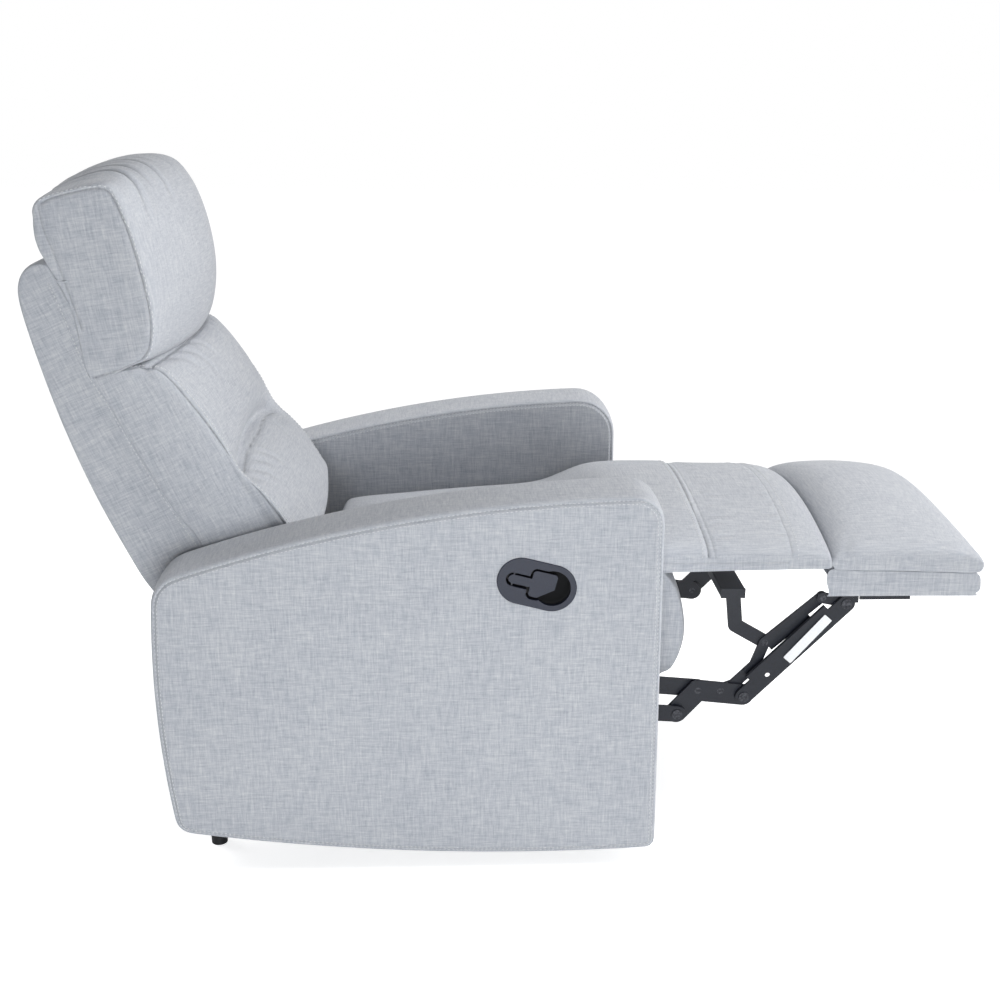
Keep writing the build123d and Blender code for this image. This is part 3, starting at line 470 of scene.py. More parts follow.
def shade_seam(piece, shade):
    """Adds to the seam_shade attribute, the painted shade that darkens the cloth at each vertex."""
    attributes = piece.data.attributes
    kept = attributes.get("seam_shade") or attributes.new("seam_shade", "FLOAT", "POINT")
    values = np.empty(len(piece.data.vertices), np.float32)
    kept.data.foreach_get("value", values)
    kept.data.foreach_set("value", np.maximum(values, shade).astype(np.float32))


def hump(gap, width):
    """A bell curve: 1 on the path, fading over the width."""
    return np.exp(-((gap / width) ** 2))


def press_seam(piece, points, depth, width, pucker, shade):
    """Pulls a sewn seam into a padded piece, with small puckers beside it, and paints shade along its line.
    """
    thread_shadow, pucker_reach, pucker_start = 0.0012, 0.018, 0.004
    path, _ = on_surface(piece, smooth_path(points, 0.002))
    co, no = mesh_arrays(piece)
    gap, mark = nearest_on_path(co, path)
    groove = depth * (0.6 * hump(gap, width) + 0.4 * hump(gap, 3 * width))
    beside = np.exp(-gap / pucker_reach) * (1 - hump(gap, pucker_start))
    wave = np.sin(mark * 0.62) * np.sin(mark * 0.13 + 1.0) + 0.6 * np.sin(mark * 0.29 + 2.0)
    move_vertices(piece, co - no * groove[:, None] + no * (pucker * beside * wave)[:, None])
    # Painted shade: a thin dark line along the seam, as strong as shade says.
    shade_seam(piece, shade * hump(gap, thread_shadow))


def press_folds(piece, folds, depth, width, shade):
    """Soft creases where the cover is pulled, each a hollow between ridges with painted shade down in it,
    fading out towards its ends.
    Each is given by its places, (ahead, from the middle, height) in millimetres."""
    co, no = mesh_arrays(piece)
    tree = surface_tree(piece)
    move, dark = np.zeros(len(co)), np.zeros(len(co))
    for points in folds:
        path, _ = on_surface(piece, smooth_path([at(*place) for place in points], 0.003), tree)
        gap, mark = nearest_on_path(co, path)
        fade = np.sin(math.pi * (mark / (len(path) - 1)) ** 0.6)
        move += depth * fade * (0.6 * hump(gap - 2.4 * width, 1.5 * width) - hump(gap, width))
        # Painted shade down in the hollow of each crease.
        dark = np.maximum(dark, shade * fade * hump(gap, 0.6 * width))
    move_vertices(piece, co + no * move[:, None])
    shade_seam(piece, dark)


def stitch(name, piece, points, offsets, body, length=0.0040, radius=0.0009):
    """Rows of thread stitches beside a seam, each lying on the piece's surface."""
    tree = surface_tree(piece)
    pitch = bpy.context.scene.recliner_cloth.stitch_pitch
    path, normals = on_surface(piece, smooth_path(points, pitch), tree)
    tangents = np.gradient(path, axis=0)
    tangents /= np.linalg.norm(tangents, axis=1)[:, None] + 1e-9
    bm = bmesh.new()
    size = Matrix.Diagonal((length / 2, radius, radius, 1)) @ Matrix.Rotation(math.pi / 2, 4, "Y")
    bmesh.ops.create_uvsphere(bm, u_segments=6, v_segments=5, radius=1.0, matrix=size)
    shape = np.array([v.co[:] for v in bm.verts])
    faces = [[v.index for v in f.verts] for f in bm.faces]
    bm.free()
    row_points, row_faces = [], []
    for offset in offsets:
        row, row_normals = on_surface(piece, path + np.cross(normals, tangents) * offset, tree)
        for place, z, x in zip(row, row_normals, tangents):
            x = x - z * x.dot(z)
            x /= np.linalg.norm(x) + 1e-9
            base = len(row_points) * len(shape)
            row_points.append(place + z * radius * 0.3 + shape @ np.stack([x, np.cross(z, x), z]))
            row_faces += [[base + i for i in face] for face in faces]
    mesh = bpy.data.meshes.new(name)
    mesh.from_pydata(np.concatenate(row_points), [], row_faces)
    mesh.polygons.foreach_set("use_smooth", [True] * len(mesh.polygons))
    row_piece = placed(name, mesh)
    dress(row_piece, "thread", body)
    return row_piece


def dress(piece, finish, body=None):
    """Gives a piece its finish and slot, and sets it on a body."""
    piece.data.materials.clear()
    piece.data.materials.append(finish_named(finish))
    if body:
        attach(piece, body)


# ---- sizes a user may change
class RECLINER_PG_cloth(bpy.types.PropertyGroup):
    cloth_colour: bpy.props.StringProperty(
        name="Cloth colour", description="Middle tone of the weave, as sRGB hex", default="#b6b9bf"
    )
    seam_depth: bpy.props.FloatProperty(
        name="Seam depth", description="How far a seam pulls the padding in", default=0.003, unit="LENGTH"
    )
    stitch_pitch: bpy.props.FloatProperty(
        name="Stitch pitch", description="From one topstitch to the next", default=0.0062, unit="LENGTH"
    )


class RECLINER_PG_light(bpy.types.PropertyGroup):
    key_power: bpy.props.FloatProperty(
        name="Key light", description="Power of the large soft light", default=72.0, unit="POWER"
    )
    world_level: bpy.props.FloatProperty(
        name="Surround", description="Brightness of the even surrounding light", default=0.07
    )


# ---- arms
def arc_through(a, b, c, count):
    """Points on the circle through three points, from the first to the last."""
    a, b, c = (np.array(p, float) for p in (a, b, c))
    (px, pz), (qx, qz) = b - a, c - a
    p_square, q_square = px**2 + pz**2, qx**2 + qz**2
    across = np.array([qz * p_square - pz * q_square, px * q_square - qx * p_square])
    centre = a + across / (2 * (px * qz - pz * qx))
    first = math.atan2(*(a - centre)[::-1])
    last = math.atan2(*(c - centre)[::-1])
    turn = (last - first + math.pi) % (2 * math.pi) - math.pi
    angles = first + turn * np.linspace(0, 1, count)
    return centre + np.linalg.norm(a - centre) * np.stack([np.cos(angles), np.sin(angles)], axis=1)


def joined(curves, cuts):
    """One closed outline from curves end to end, rounding the corner after each by its cut length."""
    outline = []
    for index, curve in enumerate(curves):
        back, ahead = cuts[index - 1], cuts[index]
        kept = sampled(curve, np.linspace(back, distances(curve)[-1] - ahead, len(curve)))
        outline.append(kept)
        if ahead:
            after = curves[(index + 1) % len(curves)]
            step = after[1] - after[0]
            end = after[0] + step / np.linalg.norm(step) * ahead
            # A quadratic curve rounds the corner.
            for t in (0.12, 0.25, 0.38, 0.5, 0.62, 0.75, 0.88):
                outline.append([(1 - t) ** 2 * kept[-1] + 2 * t * (1 - t) * curve[-1] + t**2 * end])
    points = np.concatenate(outline)
    apart = np.linalg.norm(points - np.roll(points, 1, axis=0), axis=1)
    return points[apart > 0.5]


def arm_outline(nose_radius):
    """The arm seen from the side."""
    lean = nose_radius * (1 - math.sqrt(0.5))
    front = np.linspace((5, 26), (0, 576 - nose_radius), 28)
    nose = arc_through((0, 576 - nose_radius), (-lean, 576 - lean), (-nose_radius, 576), 14)
    top = arc_through((-nose_radius, 576), (-391, 540.4), (-715, 454), 38)
    rear = arc_through((-715, 454), (-721, 278), (-701, 63), 22)
    bottom = arc_through((-701, 63), (-357.5, 25.5), (5, 26), 36)
    return joined([front, nose, top, rear, bottom], [0, 0, 36, 22, 16])


def inset_outline(points, distance):
    """The outline moved inwards by a distance."""
    run = np.roll(points, -1, axis=0) - np.roll(points, 1, axis=0)
    run /= np.linalg.norm(run, axis=1)[:, None]
    return points + distance * np.stack([-run[:, 1], run[:, 0]], axis=1)


# The arm's cover from the middle of the outer panel's edge round to the middle of the band, as
# (inset from the outline, depth under the panel), in millimetres: a seam pulled in, then the soft edge.
SEAM_RINGS = (
    (13.0, 0.0), (10.0, 0.1), (8.0, 0.8), (6.6, 2.2), (5.8, 2.9), (5.0, 2.4), (3.6, 2.1), (2.0, 3.2),
    (0.7, 5.6), (0.0, 9.0), (-0.8, 16.0), (-1.5, 28.0), (-2.0, 54.0),
)


# Faces up and along each side panel of an arm.
ARM_ROWS = 64
ARM_COLUMNS = 84


def padded_arm(name, sign, outline):
    """An arm: a panel each side, and a band that runs over the top and round both ends."""
    outline = sampled_closed(outline, 2 * (ARM_ROWS + ARM_COLUMNS))
    bm = bmesh.new()
    sections = [(inset, arm_outer - depth * MM) for inset, depth in SEAM_RINGS]
    sections += [(inset, arm_inner + depth * MM) for inset, depth in reversed(SEAM_RINGS[:-1])]
    rings = [
        [bm.verts.new((arm_front + d * MM, sign * y, h * MM)) for d, h in inset_outline(outline, inset)]
        for inset, y in sections
    ]
    bridged(bm, rings)
    for edge in (rings[0], rings[-1]):
        fill_panel(bm, edge)
    return object_from(bm, name)


def sampled_closed(points, count):
    """The closed outline with its points evenly spaced, starting at the same place."""
    closed = np.vstack([points, points[:1]])
    return sampled(closed, np.linspace(0, distances(closed)[-1], count, endpoint=False))


def fill_panel(bm, edge):
    """Fills a four-sided ring of vertices with a grid that follows all four sides, as a Coons patch does."""
    rows, columns = ARM_ROWS, ARM_COLUMNS
    front = edge[: rows + 1]
    top = edge[rows : rows + columns + 1]
    rear = list(reversed(edge[rows + columns : 2 * rows + columns + 1]))
    bottom = list(reversed(edge[2 * rows + columns :] + edge[:1]))
    corners = (front[0].co, front[-1].co, rear[0].co, rear[-1].co)
    grid = [bottom] + [[front[i]] + [None] * (columns - 1) + [rear[i]] for i in range(1, rows)] + [top]
    for i in range(1, rows):
        v = i / rows
        for j in range(1, columns):
            u = j / columns
            place = (1 - v) * bottom[j].co + v * top[j].co + (1 - u) * front[i].co + u * rear[i].co
            place -= (1 - u) * (1 - v) * corners[0] + (1 - u) * v * corners[1]
            place -= u * (1 - v) * corners[2] + u * v * corners[3]
            grid[i][j] = bm.verts.new(place)
    for i in range(rows):
        for j in range(columns):
            bm.faces.new((grid[i][j], grid[i][j + 1], grid[i + 1][j + 1], grid[i + 1][j]))


def cut_out(piece, cutter):
    """Cuts one closed mesh out of another and removes the cutter."""
    modifier = piece.modifiers.new("opening", "BOOLEAN")
    modifier.operation = "DIFFERENCE"
    modifier.solver = "EXACT"
    modifier.object = cutter
    applied(piece)
    bpy.data.objects.remove(cutter)


# The latch's opening: its tilt, the place of its middle, and its size, in millimetres.
LATCH_TILT = math.radians(14.5)
LATCH_AT = (-178.0, 449.0)
LATCH_LENGTH, LATCH_HEIGHT = 114.0, 69.0


def latch_slot(name, grow, outer_y, inner_y):
    """A round-ended prism on the latch's outline, grown by so much, between two sideways places."""
    segments = 24
    radius = LATCH_HEIGHT / 2 + grow
    reach = (LATCH_LENGTH - LATCH_HEIGHT) / 2
    bm = bmesh.new()
    for end in (1, -1):
        for k in range(segments + 1):
            angle = end * math.pi / 2 - math.pi * k / segments
            x = end * reach + radius * math.cos(angle)
            z = radius * math.sin(angle)
            ahead = x * math.cos(LATCH_TILT) + z * math.sin(LATCH_TILT)
            up = -x * math.sin(LATCH_TILT) + z * math.cos(LATCH_TILT)
            bm.verts.new(at(LATCH_AT[0] + ahead, -outer_y, LATCH_AT[1] + up))
    extruded(bm, [bm.faces.new(bm.verts)], (0, (outer_y - inner_y) * MM, 0), keep=True)
    return object_from(bm, name)


# ---- operators
def white_floor():
    """A floor that takes the chair's shadow and is plain white further out."""
    bm = bmesh.new()
    bmesh.ops.create_grid(bm, x_segments=2, y_segments=2, size=12.0)
    floor = object_from(bm, "floor")
    material, tree = new_material("white_floor")
    path = add_node(tree, "LightPath")
    place = add_node(tree, "TexCoord")
    away = add_node(tree, "VectorMath", {"operation": "LENGTH"}, {0: place.outputs["Object"]})
    # Near the chair the floor takes its shadow; from 0.9 to 2 m out it turns to plain white.
    fading = {"interpolation_type": "SMOOTHSTEP", "From Min": 0.9, "From Max": 2.0}
    far = add_node(tree, "MapRange", fading, {"Value": away.outputs["Value"]})
    matt = add_node(tree, "BsdfDiffuse", {"Color": colour("#f4f4f4")})
    glow = add_node(tree, "Emission", {"Color": (1, 1, 1, 1), "Strength": 0.7})
    plain = add_node(tree, "Emission", {"Color": (1, 1, 1, 1), "Strength": 1.05})
    both = add_node(tree, "AddShader", None, {0: matt, 1: glow})
    near = add_node(tree, "MixShader", None, {0: far, 1: both, 2: plain})
    camera_ray = path.outputs["Is Camera Ray"]
    seen = add_node(tree, "MixShader", None, {0: camera_ray, 1: matt, 2: near})
    add_node(tree, "OutputMaterial", None, {"Surface": seen})
    floor.data.materials.append(material)


def white_surround(level):
    """A world that looks plain white, and lights the chair at the given level."""
    world = bpy.data.worlds.new("surround")
    bpy.context.scene.world = world
    world.use_nodes = True
    tree = world.node_tree
    tree.nodes.clear()
    # Camera, glossy and transmission rays see plain white; the rest get the surround's own level.
    path = add_node(tree, "LightPath")
    seen = path.outputs["Is Camera Ray"]
    for kind in ("Is Glossy Ray", "Is Transmission Ray"):
        seen = maths(tree, "MAXIMUM", seen, path.outputs[kind])
    levels = {"To Min": level, "To Max": 1.0}
    strength = add_node(tree, "MapRange", levels, {"Value": seen})
    sky = add_node(tree, "Background", {"Color": (1, 1, 1, 1)}, {"Strength": strength})
    add_node(tree, "OutputWorld", None, {0: sky})


def soft_lights(key_power):
    """Five large lamps, turned to the middle of the chair."""
    middle_of_chair = Vector((0, 0, 0.35))
    for name, place, power, size in (
        ("key_light", (2.2, 0.1, 2.8), key_power, 1.8),
        ("top_light", (0.3, 0.0, 3.2), key_power * 0.12, 1.8),
        ("front_light", (3.0, -0.2, 1.6), key_power * 0.46, 1.8),
        ("side_light", (0.1, -3.25, 0.4), key_power * 1.09, 1.6),
        ("rear_light", (-3.0, 1.6, 2.2), key_power * 0.8, 2.0),
    ):
        lamp = bpy.data.lights.new(name, "AREA")
        lamp.energy = power
        lamp.size = size
        # The side light is a little cooler than the others.
        lamp.color = (0.95, 0.975, 1.0) if name == "side_light" else (1.0, 1.0, 1.0)
        bulb = placed(name, lamp)
        bulb.location = place
        bulb.rotation_euler = (middle_of_chair - Vector(place)).to_track_quat("-Z", "Y").to_euler()


def side_camera():
    """A camera beside the right arm and a little above, looking slightly down."""
    camera = bpy.data.cameras.new("camera")
    camera.sensor_width = 36.0
    camera.lens = 49.8
    viewer = placed("camera", camera)
    eye = Vector((arm_front - 0.3085, -2.1625, 1.1345))
    yaw, pitch, roll = 0.043, 0.300, 0.007
    forward = Vector((math.sin(yaw) * math.cos(pitch), math.cos(yaw) * math.cos(pitch), -math.sin(pitch)))
    right = Vector((math.cos(yaw), -math.sin(yaw), 0))
    up = right.cross(forward)
    right, up = right * math.cos(roll) + up * math.sin(roll), up * math.cos(roll) - right * math.sin(roll)
    turn = Matrix((right, up, -forward)).transposed().to_4x4()
    viewer.matrix_world = Matrix.Translation(eye) @ turn
    bpy.context.scene.camera = viewer


class RECLINER_OT_stage(bpy.types.Operator):
    """Floor, soft lights, white surround and camera"""

    bl_idname = "recliner.stage"
    bl_label = "Stage"

    def execute(self, context):
        scene = context.scene
        white_floor()
        white_surround(scene.recliner_light.world_level)
        soft_lights(scene.recliner_light.key_power)
        side_camera()
        scene.view_settings.view_transform = "Standard"
        return {"FINISHED"}


class RECLINER_OT_arms(bpy.types.Operator):
    """Upholstered arms, with their seams and double topstitching"""

    bl_idname = "recliner.arms"
    bl_label = "Arms"

    def execute(self, context):
        # The right arm's cover is pulled tighter round its front corner than the left one's.
        for side, sign, nose_radius in (("right", -1, 41.5), ("left", 1, 64)):
            outline = arm_outline(nose_radius)
            arm = padded_arm("arm_cover_" + side, sign, outline)
            outline = sampled_closed(outline, 400)
            if side == "right":
                # The cutter starts outside the arm and ends behind the latch.
                cut_out(arm, latch_slot("latch_cutter", -3.0, 360.0, 323.0))
            dress(arm, "linen", "frame")
            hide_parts("arm_" + side)
            for face, y in (("outer", arm_outer), ("inner", arm_inner)):
                seam = [at(d, sign * y / MM, h) for d, h in inset_outline(outline, 5.8)]
                # Painted shade darkens the cloth along each panel's seam.
                path, _ = on_surface(arm, smooth_path(seam, 0.002))
                gap, _ = nearest_on_path(mesh_arrays(arm)[0], path)
                shade_seam(arm, 0.25 * hump(gap, 0.0014))
                name = "arm_stitches_" + side + "_" + face
                stitch(name, arm, seam, (-0.0032, 0.0034), "frame", 0.0036, 0.0006)
        return {"FINISHED"}


def seat_and_calf_pad(depth):
    """One cover from the seat's back over its crown and on along the calf pad, with a seam between."""
    underside = [(-478, 356), (-230, 389), (-20, 424), (90, 426), (206, 427)]
    middle_top = [
        (216, 432), (216.5, 468), (216.3, 492), (215.5, 497), (211, 499.5), (185, 501.5), (120, 502),
        (92, 502.5),
        (82, 505), (72, 508), (30, 509), (-22, 508), (-60, 500), (-92, 483), (-126, 462), (-175, 451),
        (-270, 448),
        (-380, 442), (-470, 434), (-486, 405),
    ]
    side_top = [
        (214, 430), (214.5, 434), (214.3, 438), (213.5, 442), (209, 444.5), (185, 446), (120, 446.5),
        (92, 446.5),
        (82, 447), (72, 448), (30, 449), (-22, 448.5), (-60, 446), (-92, 437), (-126, 426), (-175, 418),
        (-270, 410), (-380, 399), (-470, 388), (-484, 372),
    ]
    seat = cushion("seat_and_calf_pad", underside + side_top, underside + middle_top, cushion_half, PAD_STEPS)
    seam = across_chair(74, 86, 506, 448)
    # The seams and the hems are pressed in with painted shade along their lines.
    press_seam(seat, seam, depth * 1.0, 0.0026, 0.0005, 0.85)
    press_seam(seat, across_chair(84, 96, 505, 447), depth * 0.4, 0.002, 0.0, 0.25)
    for sign in (-1, 1):
        hem = [at(d, sign * cushion_side, 438) for d in range(-200, 211, 10)]
        press_seam(seat, hem, depth * 0.3, 0.002, 0.0, 0.2)
    # Short gathers run forward from the seam and back from the calf pad's end, unevenly spaced, each with
    # faint painted shade down its hollow.
    gathers = []
    for k in range(15):
        y = -205 + 29 * k + 6 * math.sin(2.1 * k)
        reach = 34 + 14 * math.sin(3.7 * k)
        h = 505 - 58 * (y / 238) ** 2
        gathers.append([(99, y, h), (99 + reach / 2, y + 2, h), (99 + reach, y + 3, h)])
        gathers.append([(208, y + 9, h), (208 - reach / 3, y + 8, h), (208 - reach / 1.5, y + 7, h)])
    press_folds(seat, gathers, 0.0011, 0.0042, 0.1)
    dress(seat, "linen")
    row = stitch("calf_seam_stitches", seat, seam, (0.0095,), None, 0.0034, 0.0007)
    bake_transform(row, "frame", "calf_pad", start=at(62, 0, 427), end=at(104, 0, 427))
    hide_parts("seat_cushion", "calf_pad")
    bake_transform(seat, "frame", "calf_pad", start=at(62, 0, 427), end=at(104, 0, 427))


def calf_pad_gusset():
    """The short stretch at the calf pad's end, set on the calf pad, which moves as the footrest folds."""
    end_under = [(209, 428), (236, 427), (264, 427)]
    end_middle = [(275, 446), (275, 464), (271, 480), (260, 490), (241, 496.5), (215, 500), (207, 485)]
    end_side = [(273, 430), (272, 436), (266, 441.5), (249, 444.5), (229, 445.6), (212, 445.4), (206, 435)]
    end = cushion("calf_pad_gusset", end_under + end_side, end_under + end_middle, cushion_half, PAD_STEPS)
    seam = across_chair(219, 217, 502, 445)
    rows = stitch("calf_end_stitches", end, seam, (-0.0035,), "calf_pad", 0.0034, 0.0007)
    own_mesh(rows)
    dress(end, "linen", "calf_pad")
    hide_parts("calf_pad_end")
    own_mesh(end)


class RECLINER_OT_seat(bpy.types.Operator):
    """Seat cushion running on into the calf pad"""

    bl_idname = "recliner.seat"
    bl_label = "Seat and calf pad"

    def execute(self, context):
        depth = context.scene.recliner_cloth.seam_depth
        seat_and_calf_pad(depth)
        calf_pad_gusset()
        return {"FINISHED"}


def footrest_cushion():
    """The crowned pad on the footrest, creased at its corners."""
    under = [(300, 425), (380, 423), (440, 421), (484, 419.5), (499, 421)]
    middle = [
        (279, 428), *under, (503, 430), (501, 450), (484, 473), (455, 494), (390, 507), (336, 506.5),
        (305, 499),
        (284, 484), (274, 460),
    ]
    side = [
        (277, 427), *under, (503, 427), (503, 434), (492, 441), (456, 445), (390, 446), (325, 446),
        (294, 445),
        (277, 440), (272, 433),
    ]
    pad = cushion("footrest_cushion", side, middle, cushion_half, PAD_STEPS)
    creases = (
        ((310, -236, 436), (350, -228, 446), (400, -215, 455)),
        ((400, -236, 436), (430, -226, 447), (465, -212, 452)),
        ((455, -236, 434), (478, -222, 444), (492, -200, 448)),
        ((290, -236, 437), (300, -215, 455), (315, -190, 466)),
    )
    folds = [[(d, y * sign, h) for d, y, h in crease] for crease in creases for sign in (1, -1)]
    press_folds(pad, folds, 0.0008, 0.007, 0.0)
    dress(pad, "linen", "footrest")
    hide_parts("footrest_pad")


def footrest_board_cover():
    """The flat upholstered board under the pad."""
    side = [
        (278, 383), (380, 382.5), (488, 382), (496, 384), (501, 390), (502.5, 401), (500.5, 412), (495, 418),
        (484, 419), (440, 420.5), (380, 422.5), (300, 425), (274, 427), (266, 423), (264, 406), (268.5, 387),
    ]
    # The board's rear edge is hollowed towards the middle, where the calf pad folds down past it.
    middle = [(d + 34 * max(0, (300 - d) / 33), h - 0.5) for d, h in side]
    steps = ((1.0, 0.0), (0.985, 0.35), (0.95, 0.62), (0.85, 0.88), (0.6, 1.0), (0.0, 1.0))
    board = cushion("footrest_board_cover", side, middle, cushion_half - 2 * MM, steps, (), 0.004, 3)
    dress(board, "linen", "footrest")
    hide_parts("footrest_board")


class RECLINER_OT_footrest(bpy.types.Operator):
    """Footrest pad on its upholstered board"""

    bl_idname = "recliner.footrest"
    bl_label = "Footrest"

    def execute(self, context):
        footrest_cushion()
        footrest_board_cover()
        return {"FINISHED"}


class RECLINER_OT_belly(bpy.types.Operator):
    """Padded cover of the front rail"""

    bl_idname = "recliner.belly"
    bl_label = "Front rail pad"

    def execute(self, context):
        middle = [
            (0, 228), (26, 231), (50, 250), (65, 284), (67, 322), (60, 362), (46, 396), (25, 424), (0, 426),
        ]
        side = [
            (0, 231), (20, 234), (40, 249), (56, 284), (60, 322), (53, 360), (39, 393), (20, 422), (0, 426),
        ]
        pad = cushion("front_rail_cover", side, middle, 200 * MM, SOFT_STEPS, (), 0.006)
        dress(pad, "linen", "frame")
        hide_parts("front_rail_pad")
        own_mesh(pad)
        return {"FINISHED"}


def back_slab():
    """The outer slab, with a row of stitches down each side panel."""
    slab = [
        (-604, 345), (-632, 410), (-658, 472), (-688, 516), (-718, 566), (-755, 639), (-788, 726),
        (-812, 801),
        (-838, 862), (-850, 880), (-869, 880), (-886, 867), (-894, 845), (-889, 800), (-863, 698),
        (-835, 610),
        (-802, 525), (-768, 451), (-737, 396), (-695, 342), (-684, 305), (-650, 289), (-616, 308),
    ]
    rounded = inset_outline(np.array(slab, float), 3)
    shell = cushion("back_slab", rounded, slab, 233.5 * MM, FLAT_STEPS, (), 0.006, 3)
    behind = [
        (-850, 852), (-838, 823), (-824, 781), (-814, 749), (-805, 722), (-787, 691), (-766, 648),
        (-741, 598),
        (-707, 533), (-670, 472),
    ]
    for side, sign in SIDES:
        row = [at(d, sign * 233, h) for d, h in behind]
        stitch("slab_stitches_" + side, shell, row, (0.0,), "back", 0.004, 0.0008)
    dress(shell, "linen_back", "back")
    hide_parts("back_shell")


def head_cushion(depth):
    """The pillow, gathered along the back of its top."""
    pillow_side = [
        (-836, 858), (-857, 900), (-861, 938), (-852, 965), (-806, 979), (-759, 984), (-737, 937),
        (-719, 862),
        (-712, 805), (-719, 754), (-752, 735), (-800, 718), (-816, 795),
    ]
    pillow_middle = [
        (-838, 862), (-868, 905), (-875, 944), (-862, 972), (-808, 1000), (-742, 1008), (-693, 968),
        (-668, 886),
        (-667, 806), (-690, 745), (-738, 728), (-800, 718), (-818, 795),
    ]
    pillow = cushion("head_cushion", pillow_side, pillow_middle, cushion_half, CROWN_STEPS, (0,))
    edge = [
        (-848, 962), (-829, 970), (-791, 979), (-766, 981), (-754, 972), (-742, 943), (-733, 914),
        (-725, 880),
        (-717, 840), (-713, 800), (-717, 765), (-728, 747),
    ]
    rear_edge = [(-853, 958), (-848, 925), (-838, 897), (-828, 862), (-819, 830), (-808, 790)]
    lower_edge = [(-796, 721), (-774, 728), (-752, 735), (-730, 744)]
    # Each edge seam is pressed in with painted shade along its line; along the lower edge, where the pillow
    # overhangs the lumbar cushion, that painted shade stands for its shadow.
    for side, sign in SIDES:
        seam = [at(d, sign * (cushion_side - 1), h) for d, h in edge]
        press_seam(pillow, seam, depth * 0.75, 0.002, 0.0004, 0.6)
        stitch("pillow_stitches_" + side, pillow, seam, (-0.0036 * sign,), "back", 0.0042, 0.0008)
        behind = [at(d, sign * cushion_side, h) for d, h in rear_edge]
        press_seam(pillow, behind, depth * 0.4, 0.002, 0.0005, 0.4)
        below = [at(d, sign * cushion_side, h) for d, h in lower_edge]
        press_seam(pillow, below, depth * 0.5, 0.002, 0.0, 0.6)
    # The cover is gathered at the back of the top, so creases run forward over it and die out, with painted
    # shade down in them.
    creases = (
        ((-842, -196, 975), (-800, -182, 988), (-760, -176, 992), (-722, -184, 972), (-700, -196, 935)),
        ((-848, -150, 975), (-806, -138, 992), (-762, -132, 998), (-718, -142, 978)),
        ((-852, -104, 975), (-812, -92, 995), (-766, -84, 1002), (-716, -92, 985), (-696, -104, 950)),
        ((-852, -58, 976), (-812, -44, 997), (-770, -36, 1003), (-724, -40, 994)),
        ((-854, -14, 976), (-812, 2, 998), (-768, 10, 1004), (-718, 6, 988), (-700, -4, 965)),
        ((-852, 42, 976), (-810, 52, 997), (-764, 58, 1003), (-722, 54, 990)),
        ((-850, 94, 975), (-806, 104, 995), (-760, 108, 1001), (-714, 102, 980)),
        ((-846, 150, 972), (-802, 158, 990), (-756, 158, 996), (-716, 154, 972)),
        ((-842, 202, 968), (-798, 198, 986), (-754, 194, 990), (-718, 196, 964)),
    )
    press_folds(pillow, creases, 0.0075, 0.0052, 0.55)
    dress(pillow, "linen_pillow", "back")
    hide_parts("head_pillow")


